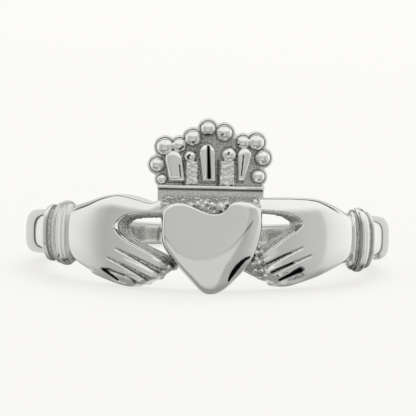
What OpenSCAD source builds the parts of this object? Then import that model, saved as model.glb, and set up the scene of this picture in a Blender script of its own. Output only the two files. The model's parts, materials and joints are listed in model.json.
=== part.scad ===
// Claddagh ring: a crowned heart held by two hands, cast in one piece with its band.
// Millimetres. The ring lies on its side, crown up: the finger goes through it from below,
// the heart faces -Y, and the ring rests on the heart's tip, the two hands and the band's back.

/* [Band] */
// Inner diameter, the finger size
bore_d = 17.3; // [15.5:0.1:20.5]
// Thickness of the band at its sides
band_t = 1.4; // [1:0.05:2]
// Thickness of the band at its back
band_back_t = 1.15; // [0.8:0.05:1.8]
// Height of the band beside the cuffs, along the finger
band_h = 2.42; // [1.8:0.02:3]
// Height of the band at its back, along the finger
band_back_h = 1.16; // [0.9:0.02:2]
// Radius of the domed outer face, across the band
band_dome_r = 2.6; // [1.8:0.1:6]

/* [Heart] */
// Width of the heart across its lobes
heart_w = 5.36; // [4.4:0.02:6]
// Height of the heart, from the tip to the top of the lobes
heart_h = 4.96; // [4.2:0.02:5.6]
// How far the tip reaches below the middle of the band
heart_drop = 3.13; // [2.6:0.01:3.6]
// Height of the heart's wall over the finger
heart_wall = 2; // [1.5:0.05:2.6]
// Rise of the polished face above its wall
heart_dome = 0.62; // [0.3:0.02:1]
// Share by which the tip draws in towards the finger
heart_relief = 0.14; // [0.1:0.01:0.25]
// How far the heart leans to one side, in degrees
heart_lean = 2.2; // [0:0.1:6]
// How far the heart and the crown sit to that side
head_set = 0.12; // [0:0.02:0.3]

/* [Crown] */
// Width of the crown over its side beads
crown_w = 6.6; // [5.6:0.05:7.6]
// Height of the crown, from its foot to the top of the top bead
crown_h = 4.15; // [3.4:0.05:5]
// Height of the crown's foot above the middle of the band
crown_foot = 1.88; // [1.6:0.02:2.4]
// Width of the crown at its foot
crown_foot_w = 5.6; // [4.6:0.05:6.4]
// Thickness of the plate behind the crown's relief
plate_t = 1.05; // [0.7:0.05:1.5]
// How far the plate's back stands off the finger
crown_ease = 0.2; // [0.16:0.01:0.4]
// Rim of plate that shows round the beads
plate_rim = 0.15; // [0.05:0.01:0.3]
// Diameter of the largest bead
bead_d = 0.9; // [0.6:0.02:1.1]
// Height of the rule along the crown's foot
rule_h = 0.17; // [0.1:0.01:0.3]
// How far the rule and the petals stand out of the plate
relief_t = 0.42; // [0.2:0.02:0.7]

/* [Hands] */
// Length of a hand as seen from the front, from its cuff to the heart
hand_len = 4.82; // [4:0.02:5.2]
// Height of the thumb's top line above the middle of the band
hand_top = 2.1; // [1.7:0.02:2.4]
// Thickness of a hand over the finger
hand_t = 2; // [1.5:0.05:2.5]
// Width of the first finger
finger_w = 1; // [0.8:0.02:1.2]
// Width of the thumb beside the heart
thumb_w = 0.8; // [0.6:0.02:1]

/* [Cuffs] */
// Height of a cuff along the finger
cuff_h = 3.46; // [2.8:0.02:4.2]
// Angle from the heart to the cuff's edge beside the hand, in degrees
cuff_from = 49; // [45:0.1:51]
// Angle that a cuff takes round the ring, in degrees
cuff_arc = 11; // [9:0.1:14]
// Thickness of a cuff over the finger
cuff_t = 1.98; // [1.6:0.02:2.4]

/* [Hidden] */

// Columns of a row in the limbs' lists: angle from the heart, height, half the width, outer radius
ANGLE = 0;
HEIGHT = 1;
HALF_W = 2;
OUTER = 3;

// Palm, from the cuff towards the heart: share of the hand's length, top line as a share of
// the hand's top, bottom line as a share of its drop, thickness as a share of the hand's
PALM = [
    [-0.06, 0.60, -0.42, 0.74],
    [0.00, 0.64, -0.44, 0.84],
    [0.07, 0.70, -0.50, 0.91],
    [0.20, 0.79, -0.65, 0.97],
    [0.36, 0.91, -0.81, 1.00],
    [0.43, 0.94, -0.87, 0.98],
    [0.49, 0.92, -0.90, 0.88],
    [0.53, 0.84, -0.86, 0.74],
];
// Web that joins the fingers under their grooves, with the palm's columns
WEB = [
    [0.36, -0.10, -0.80, 0.72],
    [0.56, -0.18, -0.90, 0.72],
    [0.73, -0.30, -0.92, 0.70],
    [0.88, -0.44, -0.88, 0.66],
    [0.96, -0.50, -0.78, 0.62],
];
// Thumb: share of the hand's length, height as a share of the hand's top, width as a share of
// the thumb's, thickness as a share of the hand's
THUMB = [
    [0.26, 0.42, 1.75, 0.95],
    [0.46, 0.70, 1.40, 0.97],
    [0.58, 0.75, 1.28, 0.96],
    [0.70, 0.76, 1.14, 0.93],
    [0.82, 0.74, 0.98, 0.88],
    [0.93, 0.70, 0.72, 0.84],
    [1.02, 0.75, 0.85, 0.80],
];
// Fingers from the first to the last: share of the hand's length, height as a share of the
// hand's drop, width as a share of the first finger's, thickness as a share of the hand's
FINGERS = [
    [
        [0.30, -0.02, 1.05, 0.97],
        [0.45, -0.04, 1.10, 1.00],
        [0.59, -0.14, 1.02, 1.00],
        [0.73, -0.25, 1.00, 0.97],
        [0.87, -0.365, 0.96, 0.91],
        [1.02, -0.47, 0.86, 0.84],
    ],
    [
        [0.39, -0.30, 0.80, 0.95],
        [0.56, -0.44, 0.76, 0.98],
        [0.71, -0.57, 0.74, 0.95],
        [0.84, -0.67, 0.66, 0.88],
        [0.97, -0.76, 0.54, 0.78],
    ],
    [
        [0.37, -0.54, 0.66, 0.92],
        [0.52, -0.65, 0.60, 0.94],
        [0.66, -0.77, 0.58, 0.89],
        [0.77, -0.85, 0.54, 0.83],
        [0.86, -0.90, 0.46, 0.77],
    ],
    [
        [0.24, -0.56, 0.60, 0.86],
        [0.38, -0.72, 0.52, 0.86],
        [0.51, -0.83, 0.48, 0.83],
        [0.62, -0.91, 0.42, 0.78],
        [0.71, -0.93, 0.38, 0.74],
    ],
];
// Cuff, from the hand outwards: share of its arc, height as a share of the cuff's, thickness
// as a share of the cuff's
CUFF = [
    [0.00, 0.84, 0.80],
    [0.04, 0.94, 0.94],
    [0.12, 0.99, 1.00],
    [0.28, 1.00, 0.98],
    [0.44, 0.99, 1.00],
    [0.54, 0.97, 0.98],
    [0.58, 0.92, 0.88],
    [0.80, 0.86, 0.84],
    [0.84, 0.87, 0.92],
    [0.94, 0.80, 0.90],
    [1.00, 0.70, 0.78],
];
// One half of the heart's outline, from the notch to the tip: share of half the width, share
// of the height above the tip
HEART = [
    [0.00, 0.870],
    [0.22, 0.925],
    [0.45, 0.985],
    [0.64, 1.000],
    [0.81, 0.965],
    [0.94, 0.885],
    [1.00, 0.770],
    [1.00, 0.600],
    [0.95, 0.455],
    [0.82, 0.335],
    [0.53, 0.160],
    [0.23, 0.030],
    [0.00, 0.000],
];
// Rings of the heart's polished face, from its wall inwards: scale of the outline, rise above
// the wall's height as a share of the dome
HEART_FACE = [[1.00, -0.45], [0.985, -0.12], [0.94, 0.10], [0.78, 0.50], [0.52, 0.82], [0.24, 0.97]];
// Beads of the crown: share of half the crown's width, share of its height above the foot,
// share of the largest bead's diameter
BEADS = [
    [-0.780, 0.243, 0.56],
    [-0.860, 0.427, 0.82],
    [-0.742, 0.655, 0.98],
    [-0.512, 0.675, 0.82],
    [-0.297, 0.771, 0.93],
    [-0.060, 0.895, 0.84],
    [0.197, 0.839, 0.93],
    [0.503, 0.728, 0.78],
    [0.712, 0.735, 0.92],
    [0.818, 0.540, 0.87],
    [0.752, 0.301, 0.76],
    [-0.324, 0.535, 0.66],
    [0.297, 0.564, 0.84],
];
// Outline of the plate between the beads: share of half the crown's width, share of its height
PLATE = [
    [-0.85, 0.40],
    [-0.74, 0.70],
    [-0.05, 0.90],
    [0.70, 0.78],
    [0.83, 0.50],
    [0.80, 0.20],
    [-0.80, 0.18],
];
// Petals: middle of the top and of the foot, each as shares of half the crown's width and of
// its height, then the width of the top and of the foot as shares of the largest bead's
PETALS = [
    [-0.580, 0.500, -0.512, 0.222, 0.96, 0.80],
    [-0.036, 0.600, 0.000, 0.229, 0.88, 0.72],
    [0.555, 0.570, 0.510, 0.250, 0.80, 0.34],
];
// Columns under the two inner beads: middle and top as in the petals, width as there
COLUMNS = [[-0.285, 0.50, 0.72], [0.283, 0.53, 0.78]];

bore_r = bore_d / 2;
outer_r = bore_r + band_t;
// The hoop's outer face is set off towards the heart, which thins the back
hoop_shift = band_t - band_back_t;
// How far the relief starts inside the finger hole, which the bore then cuts flush
sink = 0.35;
root_r = bore_r - sink;
// A length well past the ring on every side
past = 4 * outer_r;
// Share of a cuff's arc before the band begins under it, and half the gap that this leaves
band_start = 0.4;
gap_half = cuff_from + band_start * cuff_arc;
// The band's edges are arcs, level at this share of the radius in front of the finger, that
// come together towards the back
level_share = 0.3;
taper_y = -level_share * outer_r;
taper_drop = (band_h - band_back_h) / 2;
taper_len = outer_r - hoop_shift - taper_y;
taper_r = (taper_len * taper_len + taper_drop * taper_drop) / (2 * taper_drop);

heart_top_r = bore_r + heart_wall;
// Where the heart's wall ends and its face begins
heart_edge_r = heart_top_r + HEART_FACE[0][1] * heart_dome;
// Points between the rows of the heart's outline
heart_steps = 3;
heart_half = heart_w / 2;
crown_half = crown_w / 2;
plate_r = bore_r + plate_t;
relief_r = plate_r + relief_t;
crown_foot_half = crown_foot_w / 2;
// The rule stands this far past the plate at each end
rule_over = 0.04;
rule_half = crown_foot_half + rule_over;
// The plate runs down behind the heart's lobes to join it
neck_h = 1.1;
// Heights of the foot's block, of the rule and of the columns' feet, as shares of the crown's
foot_share = 0.2;
rule_share = 0.125;
column_share = 0.18;
// How far the rule and the columns lie below the petals, as shares of the relief
rule_sink = 0.4;
column_sink = 0.5;

// Where the ring touches the surface it lies on: the heart's tip and the band's back
back_y = outer_r - hoop_shift - band_dome_r + sqrt(pow(band_dome_r, 2) - pow(band_back_h / 2, 2));
rest_slope = (heart_drop - band_back_h / 2) / (heart_edge_r + back_y);
rest_tilt = atan(rest_slope);
rest_lift = (band_back_h / 2 + rest_slope * back_y) * cos(rest_tilt);
// The front and the back of the ring as it lies, between which its origin is halved
front_reach = max([
    for (f = HEART_FACE)
        (heart_top_r + f[1] * heart_dome) * cos(rest_tilt) + f[0] * heart_drop * sin(rest_tilt)
]);
rear_reach = (outer_r - hoop_shift - band_dome_r) * cos(rest_tilt) + band_dome_r;

// The hands reach down to the same surface at the finger hole's wall, at this angle from the
// heart, where they are lowest
low_angle = 24.5;
hand_drop = band_back_h / 2 + rest_slope * (back_y + cos(low_angle) * bore_r);

// A limb's section has straight sides from the bore up to this share of its thickness, and
// a rounded top with so many points and so square a curve
side_share = 0.6;
// Share of its width that a limb keeps at the finger hole, and how far its sections lean out
// from the heart there, as a share of their depth
hand_foot = [1, 0];
cuff_foot = [0.8, 0.9];
top_points = 13;
top_power = 2.4;
// Where the cuff meets the hand, as seen from the front
cuff_x = (bore_r + side_share * hand_t) * sin(cuff_from);
// How far a finger's rounded tip reaches past its last section, and how much of that is left
finger_tip = 0.2;
palm_tip = 0.05;
tip_share = 0.6;

// Unit vector of v
function unit(v) = v / norm(v);

// Sign-keeping power, for a rounded square section
function soft(v, power) = sign(v) * pow(abs(v), 2 / power);

// Point at an angle from the heart, a height and a radius
function seat(angle, z, r) = [r * sin(angle), -r * cos(angle), z];

// Angle from the heart at which a point of radius r shows at x from the front
function angle_at(x, r) = asin(x / r);

// Height on a hand from its share: up to the thumb's top line, down to the hand's drop
function hand_z(share) = share > 0 ? share * hand_top : share * hand_drop;

// Radius at which a limb is widest, from its outer radius
function side_r(r) = bore_r + side_share * (r - bore_r);

// Row of a limb, from its columns of shares
function hand_row(place, z, half_w, rise) =
    let (r = bore_r + rise * hand_t)
    [angle_at(cuff_x - place * hand_len, side_r(r)), z, half_w, r];

function palm_rows(list) = [
    for (p = list)
        hand_row(p[0], (hand_z(p[1]) + hand_z(p[2])) / 2, (hand_z(p[1]) - hand_z(p[2])) / 2, p[3])
];
function thumb_rows() = [for (p = THUMB) hand_row(p[0], hand_z(p[1]), p[2] * thumb_w / 2, p[3])];
function finger_rows(f) = [for (p = f) hand_row(p[0], hand_z(p[1]), p[2] * finger_w / 2, p[3])];
function cuff_rows() = [
    for (p = CUFF) [cuff_from + p[0] * cuff_arc, 0, p[1] * cuff_h / 2, bore_r + p[2] * cuff_t]
];

// Section of a limb across the direction t, moved along it by reach, with its rounded top
// drawn in by scale
function section(row, t, reach, scale, foot) =
    let (
        r = side_r(row[OUTER]),
        p = seat(row[ANGLE], row[HEIGHT], r) + reach * t,
        radial = unit([p[0], p[1], 0]),
        out = unit(radial - (radial * t) * t),
        side = row[HALF_W] * scale * cross(t, out),
        top = (row[OUTER] - r) * scale * out,
        root = p - (r - root_r) * (out - foot[1] * t)
    )
    concat(
        [
            for (j = [0 : top_points - 1])
                let (a = 180 * j / (top_points - 1) - 90)
                p + soft(cos(a), top_power) * top + soft(sin(a), top_power) * side
        ],
        [root + foot[0] * side, root - foot[0] * side]
    );

// Sections along a limb, with one more that rounds its tip and reaches past it. The path of
// the rows along the finger hole's wall gives the limb its direction.
function limb_rings(rows, reach, foot) =
    let (
        n = len(rows),
        path = [for (row = rows) seat(row[ANGLE], row[HEIGHT], bore_r)],
        dir = [for (i = [0 : n - 1]) unit(path[min(i + 1, n - 1)] - path[max(i - 1, 0)])]
    )
    [
        for (i = [0 : n - 1]) section(rows[i], dir[i], 0, 1, foot),
        section(rows[n - 1], dir[n - 1], reach, tip_share, foot),
    ];

function average(points) = [for (k = [0 : 2]) sum([for (p = points) p[k]]) / len(points)];
function sum(list, i = 0) = i < len(list) ? list[i] + sum(list, i + 1) : 0;

// Smooth closed curve through the points p, with k steps from each to the next
function smooth_loop(p, k) = let (n = len(p)) [
    for (i = [0 : n - 1], s = [0 : k - 1])
        let (
            t = s / k,
            a = p[(i + n - 1) % n],
            b = p[i],
            c = p[(i + 1) % n],
            d = p[(i + 2) % n]
        )
        b + t / 2 * (c - a + t * (2 * a - 5 * b + 4 * c - d + t * (3 * b - a - 3 * c + d)))
];

// The heart's outline as [x, z], against the clock from its notch
function heart_outline() =
    let (
        n = len(HEART),
        right = [for (p = HEART) [p[0] * heart_half, p[1] * heart_h - heart_drop]],
        left = [for (i = [1 : n - 2]) [-right[i][0], right[i][1]]],
        down = [for (i = [n - 1 : -1 : 1]) right[i]]
    )
    smooth_loop(concat([right[0]], left, down), heart_steps);

// A ring of the heart: its outline scaled about the face's middle, at the depth y
function heart_ring(outline, scale, y, relief) = [
    for (p = outline)
        let (z = scale * p[1])
        [scale * p[0], y, z < 0 ? z * (1 - relief) : z]
];

// Closed skin through rings of equally many points, with a fan over each end
module skin(rings) {
    n = len(rings[0]);
    m = len(rings);
    points = concat([for (ring = rings) each ring], [average(rings[0]), average(rings[m - 1])]);
    sides = [
        for (i = [0 : m - 2], j = [0 : n - 1])
            let (a = i * n + j, b = i * n + (j + 1) % n)
            each [[a, a + n, b + n], [a, b + n, b]]
    ];
    ends = [
        for (j = [0 : n - 1])
            let (k = (j + 1) % n)
            each [[j, k, m * n], [(m - 1) * n + k, (m - 1) * n + j, m * n + 1]]
    ];
    polyhedron(points = points, faces = concat(sides, ends));
}

module limb(rows, reach, foot) {
    skin(limb_rings(rows, reach, foot));
}

// Band: a domed hoop, open at the front, that narrows and thins towards its back
module band() {
    color("silver")
    difference() {
        intersection() {
            translate([0, -hoop_shift, 0])
            rotate_extrude($fn = 96)
            intersection() {
                translate([0, -band_h])
                square([outer_r, 2 * band_h]);
                translate([outer_r - band_dome_r, 0])
                circle(band_dome_r, $fn = 96);
            }
            band_edge(1);
            band_edge(-1);
        }
        linear_extrude(past, center = true)
        polygon([[0, 0], ray(gap_half), ray(0), ray(-gap_half)]);
    }
}

// A point well outside the ring, at an angle from the heart
function ray(angle) = past * [sin(angle), -cos(angle)];

// What lies inside the arc of the band's upper or lower edge
module band_edge(side) {
    translate([0, taper_y, side * (band_h / 2 - taper_r)])
    rotate([0, 90, 0])
    cylinder(r = taper_r, h = past, center = true, $fn = 720);
}

// Cuff: two ridges with a groove between them, wrapped over the wrist
module cuff() {
    color("gainsboro")
    limb(cuff_rows(), palm_tip, cuff_foot);
}

// Hand: palm, thumb above and four fingers below, with the opening between them
module hand() {
    color("lightgray") {
        limb(palm_rows(PALM), palm_tip, hand_foot);
        limb(palm_rows(WEB), palm_tip, hand_foot);
        limb(thumb_rows(), finger_tip, hand_foot);
        for (f = FINGERS)
            limb(finger_rows(f), finger_tip, hand_foot);
    }
}

// Heart: straight walls and a pillow face
module heart() {
    outline = heart_outline();
    foot = heart_ring(outline, 1, -root_r, heart_relief);
    face = [
        for (f = HEART_FACE)
            heart_ring(outline, f[0], -heart_top_r - f[1] * heart_dome, 0)
    ];
    color("whitesmoke")
    translate([head_set, 0, 0])
    rotate([0, -heart_lean, 0])
    skin(concat([foot], face));
}

function crown_x(share) = share * crown_half;
function crown_z(share) = crown_foot + share * crown_h;

// What lies between the plate's back and a radius r over a shape drawn as seen from the front
module wrapped(r) {
    intersection() {
        rotate([90, 0, 0])
        linear_extrude(past)
        children();
        difference() {
            cylinder(r = r, h = past, center = true, $fn = 96);
            cylinder(r = bore_r + crown_ease, h = 2 * past, center = true, $fn = 96);
        }
    }
}

// Crown: a plate that follows the finger, with a rule, petals, columns and beads on it
module crown() {
    color("gainsboro")
    translate([head_set, 0, 0]) {
        wrapped(plate_r)
        crown_outline();
        wrapped(relief_r - rule_sink * relief_t)
        translate([-rule_half, crown_z(rule_share)])
        square([2 * rule_half, rule_h]);
        for (p = PETALS)
            wrapped(relief_r)
            petal_outline(p);
        for (c = COLUMNS)
            wrapped(relief_r - column_sink * relief_t)
            translate([crown_x(c[0]) - c[2] * bead_d / 2, crown_z(column_share)])
            square([c[2] * bead_d, (c[1] - column_share) * crown_h]);
        for (b = BEADS)
            let (x = crown_x(b[0]))
            translate([x, -sqrt(pow(plate_r, 2) - x * x), crown_z(b[1])])
            sphere(d = b[2] * bead_d, $fn = 16);
    }
}

module crown_outline() {
    for (b = BEADS)
        translate([crown_x(b[0]), crown_z(b[1])])
        circle(d = b[2] * bead_d + 2 * plate_rim, $fn = 20);
    polygon([for (p = PLATE) [crown_x(p[0]), crown_z(p[1])]]);
    translate([-crown_foot_half, crown_foot - neck_h])
    square([2 * crown_foot_half, neck_h + foot_share * crown_h]);
}

// A petal: a taper with a round top
module petal_outline(p) {
    top_w = p[4] * bead_d;
    foot_w = p[5] * bead_d;
    polygon([
        [crown_x(p[0]) - top_w / 2, crown_z(p[1])],
        [crown_x(p[2]) - foot_w / 2, crown_z(p[3])],
        [crown_x(p[2]) + foot_w / 2, crown_z(p[3])],
        [crown_x(p[0]) + top_w / 2, crown_z(p[1])],
    ]);
    translate([crown_x(p[0]), crown_z(p[1])])
    circle(d = top_w, $fn = 20);
}

// Head: all that is cast onto the front of the band, made one skin at its own size
module head() {
    resize([0, 0, 0])
    union() {
        heart();
        crown();
        for (side = [-1, 1])
            scale([side, 1, 1]) {
                hand();
                cuff();
            }
    }
}

// The ring as it lies: tilted back onto the heart's tip and the band's back
module ring() {
    translate([0, (front_reach - rear_reach) / 2, rest_lift])
    rotate([-rest_tilt, 0, 0])
    difference() {
        union() {
            band();
            head();
        }
        cylinder(r = bore_r, h = past, center = true, $fn = 96);
    }
}

ring();
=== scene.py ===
"""A cast sterling silver claddagh ring in a plain studio.

The ring is modelled in millimetres in its own frame: the finger hole is the Z axis, the heart
faces -Y and the crown points up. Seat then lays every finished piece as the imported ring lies.
"""

import json
import logging
import math
from collections.abc import Iterator, Sequence
from contextlib import contextmanager
from dataclasses import dataclass, field
from enum import Enum

import bmesh
import bpy
import numpy as np
from mathutils import Matrix, Vector


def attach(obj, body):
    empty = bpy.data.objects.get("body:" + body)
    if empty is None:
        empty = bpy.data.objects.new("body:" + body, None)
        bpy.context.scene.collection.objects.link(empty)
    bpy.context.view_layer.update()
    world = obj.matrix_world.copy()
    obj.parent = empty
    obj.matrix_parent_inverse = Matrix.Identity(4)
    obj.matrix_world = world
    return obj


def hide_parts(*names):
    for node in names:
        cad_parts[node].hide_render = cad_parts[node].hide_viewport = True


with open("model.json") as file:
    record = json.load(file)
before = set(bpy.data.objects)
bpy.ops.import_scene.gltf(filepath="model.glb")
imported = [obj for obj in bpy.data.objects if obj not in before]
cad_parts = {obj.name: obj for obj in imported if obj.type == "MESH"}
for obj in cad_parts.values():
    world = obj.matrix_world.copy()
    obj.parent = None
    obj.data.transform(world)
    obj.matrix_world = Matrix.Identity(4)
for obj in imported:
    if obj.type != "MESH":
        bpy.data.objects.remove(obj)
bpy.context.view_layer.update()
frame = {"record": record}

log = logging.getLogger("claddagh_ring")

MM = 0.001
BODY = "root"
NODE = "ring"
MOUNT = frame["record"]["mounts"][0]
BORE_R = MOUNT["dims"]["r_mm"]

Points = np.ndarray
Rows = Sequence[Sequence[float]]


class Side(Enum):
    """The hand's side, as the photograph shows it, and the sign of its x."""

    LEFT = -1
    RIGHT = 1


# Columns of a limb's row: angle from the heart in degrees, height, half its width and the
# radius of its crest
ANGLE, HEIGHT, HALF, OUTER = range(4)


def unit(vector: Points) -> Points:
    """Returns the vector at length one."""
    return vector / np.linalg.norm(vector)


def soft(value: float, power: float) -> float:
    """Returns a power of the value that keeps its sign, for a rounded square section."""
    return math.copysign(abs(value) ** (2 / power), value)


def seat_at(angle: float, height: float, radius: float) -> Points:
    """Returns the point at an angle from the heart in degrees, a height and a radius."""
    turn = math.radians(angle)
    return np.array([radius * math.sin(turn), -radius * math.cos(turn), height])


def angle_at(x: float, radius: float) -> float:
    """Returns the angle from the heart at which a point of this radius shows at x from the front."""
    return math.degrees(math.asin(x / radius))


def step_between(low: float, high: float, value: Points) -> Points:
    """Returns 0 on low's side, 1 on high's side and a smooth step between them."""
    share = np.clip((value - low) / (high - low), 0.0, 1.0)
    return share * share * (3 - 2 * share)


def through(rows: Rows, steps: int, closed: bool = False) -> Points:
    """Draws a smooth line through rows of numbers.

    Args:
        rows: The rows that the line passes through.
        steps: How many steps lead from one row to the next.
        closed: Whether the line leads from the last row back to the first.

    Returns:
        The rows with the steps between them.
    """
    table = np.array(rows, float)
    ends = (table[-1:], table[:2]) if closed else (table[:1], table[-1:])
    table = np.concatenate([ends[0], table, ends[1]])
    made = []
    for before, here, there, after in zip(table, table[1:], table[2:], table[3:]):
        for step in range(steps):
            t = step / steps
            bend = 2 * before - 5 * here + 4 * there - after + t * (3 * here - before - 3 * there + after)
            made.append(here + t / 2 * (there - before + t * bend))
    if not closed:
        made.append(table[-1])
    return np.array(made)


def deselect() -> None:
    """Leaves edit mode and deselects everything."""
    if bpy.context.mode != "OBJECT":
        bpy.ops.object.mode_set(mode="OBJECT")
    bpy.ops.object.select_all(action="DESELECT")


def pick(*objects: bpy.types.Object) -> None:
    """Selects these objects alone.

    Args:
        objects: The objects, of which the first becomes the active one.
    """
    deselect()
    for obj in objects:
        obj.select_set(True)
    bpy.context.view_layer.objects.active = objects[0]


@contextmanager
def editing(obj: bpy.types.Object) -> Iterator[bmesh.types.BMesh]:
    """Opens an object in edit mode.

    Args:
        obj: The object to shape.

    Yields:
        Its mesh, with nothing selected.
    """
    pick(obj)
    bpy.ops.object.mode_set(mode="EDIT")
    bpy.ops.mesh.select_all(action="DESELECT")
    yield bmesh.from_edit_mesh(obj.data)
    bpy.ops.object.mode_set(mode="OBJECT")


def apply_modifier(obj: bpy.types.Object, kind: str, **settings: object) -> None:
    """Adds a modifier with its settings and applies it.

    Args:
        obj: The object that it shapes.
        kind: The modifier's type.
        settings: The modifier's properties by name.
    """
    pick(obj)
    modifier = obj.modifiers.new(kind.lower(), kind)
    for name, value in settings.items():
        setattr(modifier, name, value)
    bpy.ops.object.modifier_apply(modifier=modifier.name)


def join(name: str, parts: Sequence[bpy.types.Object]) -> bpy.types.Object:
    """Joins parts into one object.

    Args:
        name: The joined object's name.
        parts: The parts, which it takes in.

    Returns:
        The joined object.
    """
    pick(*parts)
    if len(parts) > 1:
        bpy.ops.object.join()
    made = bpy.context.active_object
    made.name = name
    made.data.name = name
    return made


def fuse(obj: bpy.types.Object, grid: float, passes: int, share: float = 0.5) -> None:
    """Melts overlapping parts into one skin and rounds it as polishing does.

    Args:
        obj: The object whose parts overlap.
        grid: Size of the new skin's faces, in millimetres.
        passes: How many times the skin is smoothed.
        share: How far each pass smooths it.
    """
    apply_modifier(obj, "REMESH", mode="VOXEL", voxel_size=grid, use_smooth_shade=True)
    if passes:
        apply_modifier(obj, "SMOOTH", factor=share, iterations=passes)


def shade_smooth(obj: bpy.types.Object) -> None:
    """Shades the object smooth all over."""
    pick(obj)
    bpy.ops.object.shade_smooth()


def fixed() -> bpy.types.Object:
    """Applies the place, turn and size of the primitive just added and returns it."""
    bpy.ops.object.transform_apply(location=True, rotation=True, scale=True)
    return bpy.context.active_object


def points_of(mesh: bpy.types.Mesh, what: str = "co") -> Points:
    """Reads something that a mesh stores for each of its points.

    Args:
        mesh: The mesh.
        what: The points' property, their place or their normal.

    Returns:
        A row of x, y and z for each point.
    """
    values = np.empty(len(mesh.vertices) * 3, np.float32)
    mesh.vertices.foreach_get(what, values)
    return values.reshape(-1, 3)


def move_points(mesh: bpy.types.Mesh, co: Points) -> None:
    """Moves a mesh's points to these rows of x, y and z."""
    mesh.vertices.foreach_set("co", co.ravel())
    mesh.update()


class Skin:
    """A closed skin drawn out of a filled circle, one section after another."""

    def __init__(self, name: str, first: Points) -> None:
        """Adds the first section.

        Args:
            name: The object's name.
            first: The section's points, in order.
        """
        deselect()
        bpy.ops.mesh.primitive_circle_add(vertices=len(first), fill_type="NGON")
        self.obj = bpy.context.active_object
        self.obj.name = name
        bpy.ops.object.mode_set(mode="EDIT")
        bpy.ops.mesh.select_all(action="SELECT")
        self._place(first)

    def _place(self, points: Points) -> None:
        """Moves the open end's corners.

        Args:
            points: The corners' new places, in order.
        """
        mesh = bmesh.from_edit_mesh(self.obj.data)
        end = next(face for face in mesh.faces if face.select)
        for vert, point in zip(end.verts, points):
            vert.co = point
        bmesh.update_edit_mesh(self.obj.data)

    def grow(self, points: Points) -> None:
        """Extrudes the open end to the next section's points."""
        bpy.ops.mesh.extrude_region_move()
        self._place(points)

    def close(self) -> bpy.types.Object:
        """Turns the faces outwards and leaves edit mode.

        Returns:
            The finished object.
        """
        bpy.ops.mesh.select_all(action="SELECT")
        bpy.ops.mesh.normals_make_consistent(inside=False)
        bpy.ops.object.mode_set(mode="OBJECT")
        return self.obj


def skin(name: str, sections: Sequence[Points]) -> bpy.types.Object:
    """Draws a closed skin through sections of equally many points.

    Args:
        name: The object's name.
        sections: The sections, from one end to the other.

    Returns:
        The object.
    """
    made = Skin(name, sections[0])
    for section in sections[1:]:
        made.grow(section)
    return made.close()


@dataclass(frozen=True)
class Limb:
    """How the section of a finger, palm or cuff is shaped.

    Attributes:
        power: How square its outside is, from 2 for a round one.
        end_power: How square it is at its end, if that differs.
        side_share: Share of its rise over the finger hole's wall at which it is widest.
        top_points: How many points its outside has.
        foot_width: Its width at that wall, as a share of its widest.
        foot_lean: How far its foot lies ahead of its widest place, as a share of the depth between.
        tip: Length of its rounded tip.
        tip_taper: How far the tip closes, up to 1 for a point.
        level: Whether it runs level, whatever the heights in its rows.
    """

    power: float = 2.4
    end_power: float | None = None
    side_share: float = 0.6
    top_points: int = 15
    foot_width: float = 1.0
    foot_lean: float = 0.0
    tip: float = 0.2
    tip_taper: float = 0.92
    level: bool = False

    def widest(self, outer: float) -> float:
        """Returns the radius at which a limb of this outer radius is widest."""
        return BORE_R + self.side_share * (outer - BORE_R)

    def section(self, row: Points, along: Points, reach: float, scale: float, power: float) -> Points:
        """Draws one section across the limb.

        Args:
            row: The limb's row at this place.
            along: The direction in which the limb runs.
            reach: How far the section is moved along it.
            scale: How much of its width and height is left.
            power: How square it is.

        Returns:
            The section's points.
        """
        widest = self.widest(row[OUTER])
        middle = seat_at(row[ANGLE], row[HEIGHT], widest) + reach * along
        radial = unit(np.array([middle[0], middle[1], 0.0]))
        out = unit(radial - (radial @ along) * along)
        side = row[HALF] * scale * np.cross(along, out)
        top = (row[OUTER] - widest) * scale * out
        root = middle - (widest - BORE_R) * (out - self.foot_lean * along)
        made = []
        for turn in np.linspace(-math.pi / 2, math.pi / 2, self.top_points):
            rise, spread = soft(math.cos(turn), power), soft(math.sin(turn), power)
            made.append(middle + rise * top + spread * side)
        made.append(root + self.foot_width * side)
        made.append(root - self.foot_width * side)
        return np.array(made)

    def sections(self, rows: Points) -> list[Points]:
        """Draws the sections along the limb, with a rounded tip after the last.

        Args:
            rows: The limb's rows, from its root to its end.

        Returns:
            The sections' points.
        """
        path = [seat_at(row[ANGLE], 0.0 if self.level else row[HEIGHT], BORE_R) for row in rows]
        last = len(path) - 1
        along = [unit(path[min(i + 1, last)] - path[max(i - 1, 0)]) for i in range(last + 1)]
        squarer = (self.end_power or self.power) - self.power
        powers = self.power + squarer * np.linspace(0, 1, last + 1) ** 3
        made = [self.section(row, way, 0.0, 1.0, power) for row, way, power in zip(rows, along, powers)]
        for share in (0.5, 0.8, 1.0):
            scale = math.sqrt(1 - self.tip_taper * share * share)
            made.append(self.section(rows[last], along[last], share * self.tip, scale, powers[last]))
        return made


# Share of a mark's half width over which it is full, and how many shades a vertex group has
FULL = 0.45
SHADES = 20


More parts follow.
